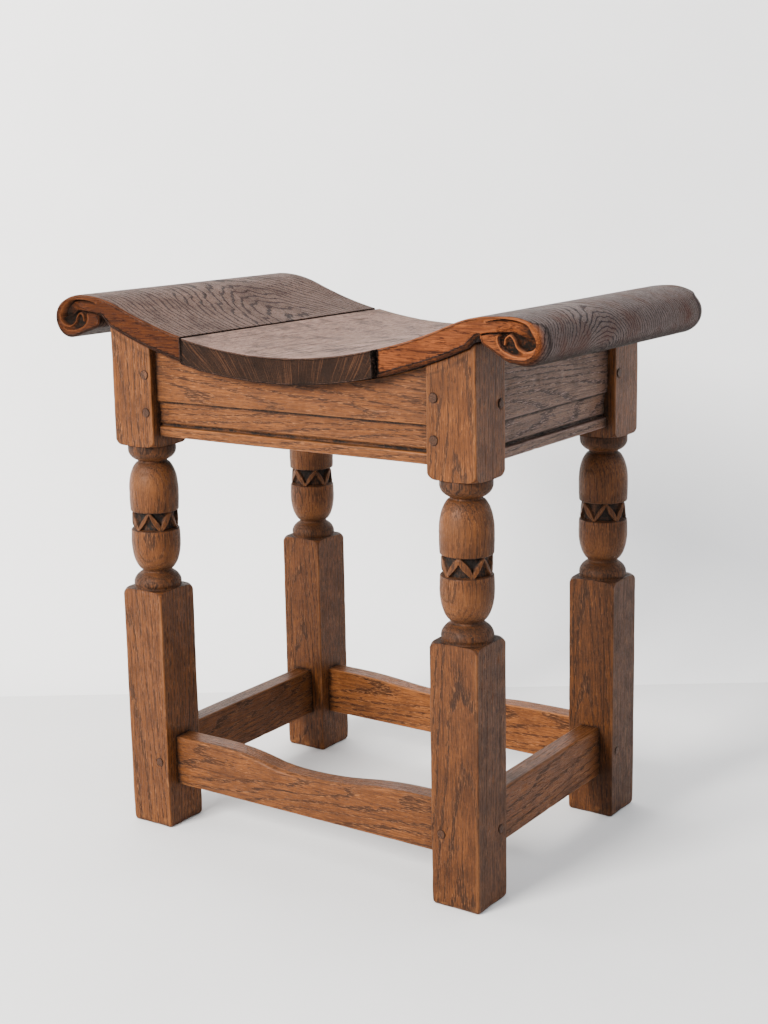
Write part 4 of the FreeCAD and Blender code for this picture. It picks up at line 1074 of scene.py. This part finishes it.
def make_board(node, outline, rounding, half_depth, flip, seed, material,
               shape=None, fine_zone=None, spacing=CAP_GAP, crest_drop=0.0):
    """A seat board: its outline swept front to back, with worn and carved ends."""
    normal = inward_normals(outline)
    near = np.array([0.0, 0.12, 0.35, 0.7, 1.2, 1.8, 2.6, 3.6, 5.0, 6.5, 8.0, 10.0, 12.0, 14.0])
    middle = steps(-half_depth + 16, half_depth - 16, 1.9)
    stations = np.concatenate([near - half_depth, middle, half_depth - near[::-1]])
    from_end = half_depth - np.abs(stations)
    radius = rounding[None, :]
    spot = joined(outline[None, :, 0], stations[:, None], outline[None, :, 1])
    radius = radius * (1 + 0.12 * noise(spot * np.array([1, 0, 1]) + [0, seed * 9, 0], 14, seed))
    gap = np.clip(from_end[:, None], 0, None)
    stretch = 1 + 1.5 * smooth(3.2, 5.2, radius)
    over = np.maximum(radius - gap / stretch, 0)
    inset = radius - np.sqrt(np.maximum(radius ** 2 - over ** 2, 0))
    waves = 0.16 * (1 - rough(spot, (44, 70, 44), seed + 2))
    dents = 0.9 * np.maximum(0, noise(spot, (13, 17, 13), seed + 5) - 0.68)
    push = inset + waves + dents
    points = spot.copy()
    points[..., 0] += normal[None, :, 0] * push
    points[..., 2] += normal[None, :, 1] * push
    forward = (half_depth - stations[:, None]) / (2 * half_depth)
    crest_part = bump(points[..., 0] - CREST_X + 4, 24) * smooth(483, 491, points[..., 2])
    points[..., 2] -= crest_drop * forward * crest_part
    count_rows, count_columns = len(stations), len(outline)

    verts = [points.reshape(-1, 3)]
    body_shade, body_wear = board_shade_and_wear(points, inset, radius, normal, seed)
    grime_and_shade, wear_and_highlight = [body_shade.reshape(-1)], [body_wear.reshape(-1)]
    faces = grid_faces(count_rows, count_columns)
    if signed_area(*outline.T) < 0:
        faces = faces[:, ::-1]
    total = count_rows * count_columns
    caps = []
    for row, out in ((0, -1), (count_rows - 1, 1)):
        rim = points[row][:, [0, 2]]
        interior, triangles = end_cap(rim, spacing, fine_zone)
        flat = np.vstack([rim, interior])
        # From the carving: its depth, its darkness (dirt and painted shade) and its painted highlight.
        depth, dirt_and_shade, shine = shape(interior) if shape else (np.zeros(len(interior)),) * 3
        grainy = 0.12 * (1 - noise(joined(*interior.T, 0.0), (9, 3, 1), seed + 7))
        depth = np.maximum(depth, 0) + grainy
        level = out * (half_depth - depth)
        verts.append(joined(interior[:, 0], level, interior[:, 1]))
        grime_and_shade.append(dirt_and_shade)
        wear_and_highlight.append(shine)
        index = np.concatenate([row * count_columns + np.arange(count_columns),
                                total + np.arange(len(interior))])
        corners = flat[triangles]
        signed = np.cross(corners[:, 1] - corners[:, 0], corners[:, 2] - corners[:, 0])
        # Seen from the front, X runs right and Z up, so anticlockwise faces the front.
        wrong = (signed > 0) if out > 0 else (signed < 0)
        triangles = np.where(wrong[:, None], triangles[:, ::-1], triangles)
        caps.append(index[triangles])
        total += len(interior)
    verts = np.vstack(verts)
    grime_and_shade, wear_and_highlight = np.concatenate(grime_and_shade), np.concatenate(wear_and_highlight)
    faces = faces.tolist() + caps[0].tolist() + caps[1].tolist()
    if flip < 0:
        verts = verts * np.array([-1, 1, 1])
        faces = [face[::-1] for face in faces]
    make_piece(node + "_wood", verts, faces, grime_and_shade, wear_and_highlight, node, material)


def board_shade_and_wear(points, inset, radius, normal, seed):
    """Painted shade under the boards, in the seams and in the slit behind the hook, and a dark line where
    a roll's end starts to round; worn, paler arrises along the ends.
    """
    under = smooth(0.3, 0.8, normal[None, :, 1]) + 0 * inset
    x, z = points[..., 0], points[..., 2]
    seam = smooth(0.75, 0.95, np.abs(normal[None, :, 0])) * (np.abs(x) < SEAM_REACH)
    behind = smooth(HOOK + 1.5, HOOK - 0.5, x) * (x > 190) * (z < SLIT_HIGH - 0.5)
    lip = 1.1 * bump(np.abs(x) - CENTRE_HIGH[0] - 0.8, 1.6)
    share = np.clip(inset / np.maximum(radius, 0.1), 0, 1)
    roll = smooth(CREST_X + 2, CREST_X + 12, x)
    rim = 0.75 * roll * bump(share - 0.02, 0.03) * (inset > 0)
    # Painted shade: undersides, the seams' walls, the edges beside the seams and the slit behind the hook.
    grime_and_shade = most(0.65 * under, lip, 1.4 * seam, 0.75 * behind, rim)
    on_top = smooth(-0.1, -0.5, normal[None, :, 1])
    wear_and_highlight = 0.55 * smooth(0.02, 0.3, share) * on_top * (0.7 + 0.5 * noise(points, 16, seed + 13))
    return grime_and_shade, wear_and_highlight


def make_seat():
    """Two scroll boards, the left one mirrored, and the centre board between them."""
    zone = ((198.0, 461.0), (250.0, 493.5))
    scrolls = [
        ("left", -1, 5, (32.0, 17.5, 18.0, 2.2), 0.38, SHEEN_TOP, (300, 25, 385), 4.7),
        ("right", 1, 8, (30.0, 18.8, 30.0, 6.0), 0.95, COOL_SHEEN_TOP, (480, -48, 440), 3.6),
    ]
    for place, flip, seed, curl, light, top_colours, pith, ring in scrolls:
        outline, rounding = scroll_outline(*curl)
        edge_colours = [tuple(v * light for v in shade) for shade in RED]
        material = seat_oak(f"oak_{place}_seat_board", "x", pith, edge_colours, top_colours, ring)
        make_board(f"{place}_seat_board", outline, rounding, SCROLL_HIGH[1], flip, seed,
                   material, volute, zone, crest_drop=CREST_DROP if flip > 0 else 0.0)
    edge, edge_low = CENTRE_HIGH[0] - SEAM_BACK, CENTRE_HIGH[0] - SEAM_BACK_LOW
    top = dish_points(-edge, edge, 0, 0.9)
    right = line_points((edge, float(dish(edge)) - 0.5), (edge_low, float(dish(edge_low, BOARD)) + 0.4),
                        0.9)
    under = dish_points(edge_low, -edge_low, BOARD, 1.4)
    left = right[::-1] * np.array([-1, 1])
    outline = np.vstack([top, right, under, left])
    rounding = np.concatenate([np.full(len(top), 0.9), np.full(len(right), 0.6),
                               np.full(len(under), 0.7), np.full(len(left), 0.6)])
    material = seat_oak("oak_centre_seat_board", "y", (24, 0, 345),
                        CENTRE_END, PALE_SHEEN_TOP, 2.4, figure=0.30, end_figure=0.10, ray=1.4,
                        same_under=True)
    make_board("centre_seat_board", outline, rounding, CENTRE_HIGH[1], 1, 12,
               material, spacing=1.8)


TOP_RAY = 0.15              # how strongly rays show on the seat's top


def seat_oak(name, grain, pith, edge_colours, top_colours, ring, figure=0.9, end_figure=0.14,
             ray=0.2, same_under=False):
    """Seat oak: grey-brown on top, the polished wood with painted sheen; its own edge colour on the ends.
    """
    material = oak(name, grain, pith, *edge_colours, ring=ring, ray=ray, gloss=0.46, shine=0.05,
                   fleck=0.15)
    t = Tree(material.node_tree)
    wood = next(node for node in t.tree.nodes if node.type == "GROUP")
    _, across, upward = t.split(t.node("ShaderNodeTexCoord").outputs["Normal"])
    ends = t.fade(t.math("ABSOLUTE", across), 0.15, 0.60)
    # With same_under, faces that point down take the dark end colours: painted shade under the board.
    if same_under:
        ends = t.math("MAXIMUM", ends, t.fade(upward, -0.4, 0.1, 1.0, 0.0))
    t.put(wood.inputs["Ring strength"], t.math("MULTIPLY_ADD", ends, end_figure - figure, figure))
    t.put(wood.inputs["Ray strength"], t.math("MULTIPLY_ADD", ends, ray - TOP_RAY, TOP_RAY))
    for label, top, edge in zip(("Light", "Middle", "Dark"), top_colours, edge_colours):
        t.put(wood.inputs[label], t.mix(ends, (*top, 1), (*edge, 1)))
    return material


# ------------------------------------------------------------ pegs


def make_peg(name, centre, axis, outward, radius, length, proud, seed, material, top=None):
    """A whittled peg: not quite round, its head domed and proud of the wood."""
    count = 40
    turn = np.linspace(0, 2 * np.pi, count, endpoint=False)
    facets = 1 - 0.018 * np.cos(8 * turn + seed) - 0.02 * np.cos(3 * turn + 2 * seed)
    reach = (radius - 0.12) * facets
    # Along the peg: place, share of the radius, darkness (dirt, and painted shade where it enters its
    # hole) and wear.
    levels = [(-length, 0.86, 0.7, 0), (-length * 0.5, 0.97, 0.7, 0), (-2.0, 1.0, 0.8, 0),
              (-0.3, 1.0, 0.85, 0), (proud * 0.55, 0.985, 0.6, 0), (proud * 0.85, 0.93, 0.35, 0.08),
              (proud, 0.80, 0.15, 0.08), (proud, 0.5, 0.1, 0.05), (proud * 1.02, 0.22, 0.1, 0.05)]
    across = [i for i in range(3) if i != axis]
    verts = []
    for level, share, _, _ in levels:
        ring = np.zeros((count, 3))
        ring[:, across[0]] = centre[across[0]] + reach * share * np.cos(turn)
        ring[:, across[1]] = centre[across[1]] + reach * share * np.sin(turn)
        ring[:, axis] = centre[axis] + outward * level
        if share < 0.99 and level > 0:
            ring[:, axis] -= outward * 0.07 * (1 + np.cos(5 * turn + seed)) * (1 - share)
        if top is not None:
            ring[:, 2] += (top(ring[:, 0]) - top(centre[0])) * smooth(-4, 0, level)
        verts.append(ring)
    ends = np.array([centre, centre], dtype=float)
    ends[0, axis] += outward * -length
    ends[1, axis] += outward * proud * 1.02
    faces = tube_faces(len(levels), count)
    if (outward < 0) != (axis == 1):
        faces = [face[::-1] for face in faces]
    _, _, grime_and_shade, wear_and_highlight = np.array(levels).T
    grime_and_shade = np.append(np.repeat(grime_and_shade, count), [0.5, 0.1])
    wear_and_highlight = np.append(np.repeat(wear_and_highlight, count), [0, 0.05])
    verts = np.vstack([*verts, ends])
    make_piece(name + "_wood", verts, faces, grime_and_shade, wear_and_highlight, name, material)


def make_pegs():
    """Five pegs on each leg and four in the seat."""
    dark = ((0.080, 0.032, 0.013), (0.044, 0.018, 0.0090), (0.009, 0.0050, 0.0036))
    materials = {axis: oak(f"oak_peg_{axis}", axis, (12, 9, 5), *dark, ring=1.8, ray=0.8)
                 for axis in "xyz"}
    seed = 3
    for corner, side_x, side_y in CORNERS:
        row, column = corner.split("_")
        names = [f"{row}_apron_peg_high", f"{row}_apron_peg_low", f"{row}_stretcher_peg",
                 f"{column}_apron_peg", f"{column}_stretcher_peg"]
        for name, (centre, axis, radius) in zip(names, leg_pegs(side_x, side_y)):
            seed += 1
            outward = side_x if axis == 0 else side_y
            proud = 0.35 + 0.4 * ((seed * 7) % 5) / 5
            make_peg(f"{corner}_leg_{name}", centre, axis, outward, radius, PEG_LENGTH, proud, seed,
                     materials["xyz"[axis]])
    for number in range(1, 5):
        low, high = node_box(f"seat_peg_{number}")
        x, y = (low[0] + high[0]) / 2, (low[1] + high[1]) / 2
        centre = (x, y, float(dish(abs(x))) - 0.35)
        make_peg(f"seat_peg_{number}", centre, 2, 1, SEAT_PEG, SEAT_PEG_LENGTH, 0.12, number,
                 materials["z"], top=lambda v: dish(np.abs(v)))


# ------------------------------------------------------------ the whole object

CORNERS = [("front_left", -1, -1), ("front_right", 1, -1), ("back_left", -1, 1), ("back_right", 1, 1)]


def make_bench():
    """Every piece; each has its own seed, so no two are alike."""
    for seed, (corner, side_x, side_y) in enumerate(CORNERS, start=1):
        make_leg(corner, side_x, side_y, seed)
    sides = [("front", True, -1, 9.5, 1), ("back", True, 1, 6.0, -1), ("left", False, -1, 0.0, 1),
             ("right", False, 1, 0.0, 1)]
    for seed, (place, along_x, side, _, _) in enumerate(sides, start=21):
        make_apron(place, along_x, side, seed)
    for seed, (place, along_x, side, foot_depth, flip) in enumerate(sides, start=31):
        make_stretcher(place, along_x, side, foot_depth, flip, seed)
    make_seat()
    make_pegs()


# ------------------------------------------------------------ studio


def studio_material(name, color):
    """Matt, faintly mottled paper; also gives the tree and shader for further changes."""
    material, t, shader, place = new_material(name)
    mottle = t.noise(place, scale=5.0, detail=4.0, roughness=0.6)
    weave = t.noise(place, scale=90.0, detail=3.0)
    tone = t.mix(t.fade(mottle, 0.3, 0.75, 0.0, 0.5), (*color, 1), (*[v * 0.93 for v in color], 1))
    t.put(shader.inputs["Base Color"], tone)
    shader.inputs["Roughness"].default_value = 0.9
    shader.inputs["Specular IOR Level"].default_value = 0.2
    t.put(shader.inputs["Normal"], t.bump(t.math("MULTIPLY_ADD", weave, 0.2, mottle), 0.12, 0.004))
    return material, t, shader


VIEW_YAW, VIEW_PITCH, VIEW_ROLL = math.radians(34.65), math.radians(11.13), math.radians(-1.06)
CAMERA_PLACE = (0.84193, -1.20997, 0.61288)
CAMERA_LENS, CAMERA_SHIFT = 57.41, -0.0324
AWAY = Vector((-math.sin(VIEW_YAW), math.cos(VIEW_YAW), 0))
SIDE = Vector((math.cos(VIEW_YAW), math.sin(VIEW_YAW), 0))


def make_backdrop():
    """A pale floor, and a wall that curves up behind and shows only from its front."""
    floor_material, _, _ = studio_material("studio_floor", (0.76, 0.755, 0.75))
    wall_material, t, shader = studio_material("studio_wall", (0.90, 0.895, 0.89))
    output = next(node for node in wall_material.node_tree.nodes if node.type == "OUTPUT_MATERIAL")
    clear = t.node("ShaderNodeBsdfTransparent")
    choose = t.node("ShaderNodeMixShader")
    t.put(choose.inputs[0], t.node("ShaderNodeNewGeometry").outputs["Backfacing"])
    t.put(choose.inputs[1], shader.outputs[0])
    t.put(choose.inputs[2], clear.outputs[0])
    t.put(output.inputs["Surface"], choose.outputs[0])

    wall_away, bend, height, half_width = 0.56, 0.20, 3.0, 3.5
    profile = [(wall_away - bend, 0.0)]
    for turn in np.radians(np.linspace(5, 90, 18)):
        profile.append((wall_away - bend + bend * math.sin(turn), bend - bend * math.cos(turn)))
    profile.append((wall_away, height))
    for name, rows, material, reach in (("studio_floor", [(-9, 0), (9, 0)], floor_material, 9.0),
                                        ("studio_wall", profile, wall_material, half_width)):
        verts, faces = [], []
        for away, up in rows:
            lift = up - 0.0006 if name == "studio_floor" else up
            for side in (-reach, reach):
                place = AWAY * away + SIDE * side
                verts.append((place.x, place.y, lift))
        for index in range(len(rows) - 1):
            near = index * 2
            faces.append((near, near + 1, near + 3, near + 2))
        mesh = bpy.data.meshes.new(name)
        mesh.from_pydata(verts, [], faces)
        mesh.materials.append(material)
        mesh.shade_smooth()
        item = add_object(name, mesh)


def area_light(name, place, target, size, power, color):
    """A soft rectangle of light, aimed at the target."""
    light = bpy.data.lights.new(name, "AREA")
    light.shape = "RECTANGLE"
    light.size, light.size_y = size
    light.energy = power
    light.color = color
    item = add_object(name, light)
    item.location = place
    item.rotation_euler = (Vector(target) - Vector(place)).to_track_quat("-Z", "Y").to_euler()


def make_lights():
    """A large key from the front left, a cool fill, a soft top light and a pale world."""
    middle = (0, 0, 0.3)
    key = -AWAY * 1.75 - SIDE * 1.9 + Vector((0, 0, 1.5))
    fill = -AWAY * 1.6 + SIDE * 2.2 + Vector((0, 0, 1.2))
    top = AWAY * 0.1 + Vector((0, 0, 2.8))
    for name, place, size, power, color in (("key", key, (1.1, 1.1), 246, (1.0, 0.97, 0.93)),
                                            ("fill", fill, (2.0, 1.6), 26, (0.80, 0.90, 1.0)),
                                            ("top", top, (2.4, 2.4), 32, (1.0, 0.99, 0.98))):
        area_light(name, place, middle, size, power, color)
    world = bpy.data.worlds.new("studio")
    bpy.context.scene.world = world
    world.use_nodes = True
    background = world.node_tree.nodes["Background"]
    background.inputs[0].default_value = (0.93, 0.95, 1.0, 1)
    background.inputs[1].default_value = 0.80


def make_camera():
    """The camera of the reference view: it looks slightly down from the front right."""
    toward = Vector((math.sin(VIEW_YAW) * math.cos(VIEW_PITCH),
                     -math.cos(VIEW_YAW) * math.cos(VIEW_PITCH), math.sin(VIEW_PITCH)))
    level = (-toward).cross(Vector((0, 0, 1))).normalized()
    upright = level.cross(-toward)
    right = math.cos(VIEW_ROLL) * level + math.sin(VIEW_ROLL) * upright
    up = -math.sin(VIEW_ROLL) * level + math.cos(VIEW_ROLL) * upright
    matrix = Matrix.Identity(4)
    for column, axis in enumerate((right, up, toward, CAMERA_PLACE)):
        for row in range(3):
            matrix[row][column] = axis[row]
    camera = bpy.data.cameras.new("camera")
    camera.sensor_width = 36
    camera.lens = CAMERA_LENS
    camera.shift_y = CAMERA_SHIFT
    item = add_object("camera", camera)
    item.matrix_world = matrix
    bpy.context.scene.camera = item


make_bench()
make_backdrop()
make_lights()
make_camera()
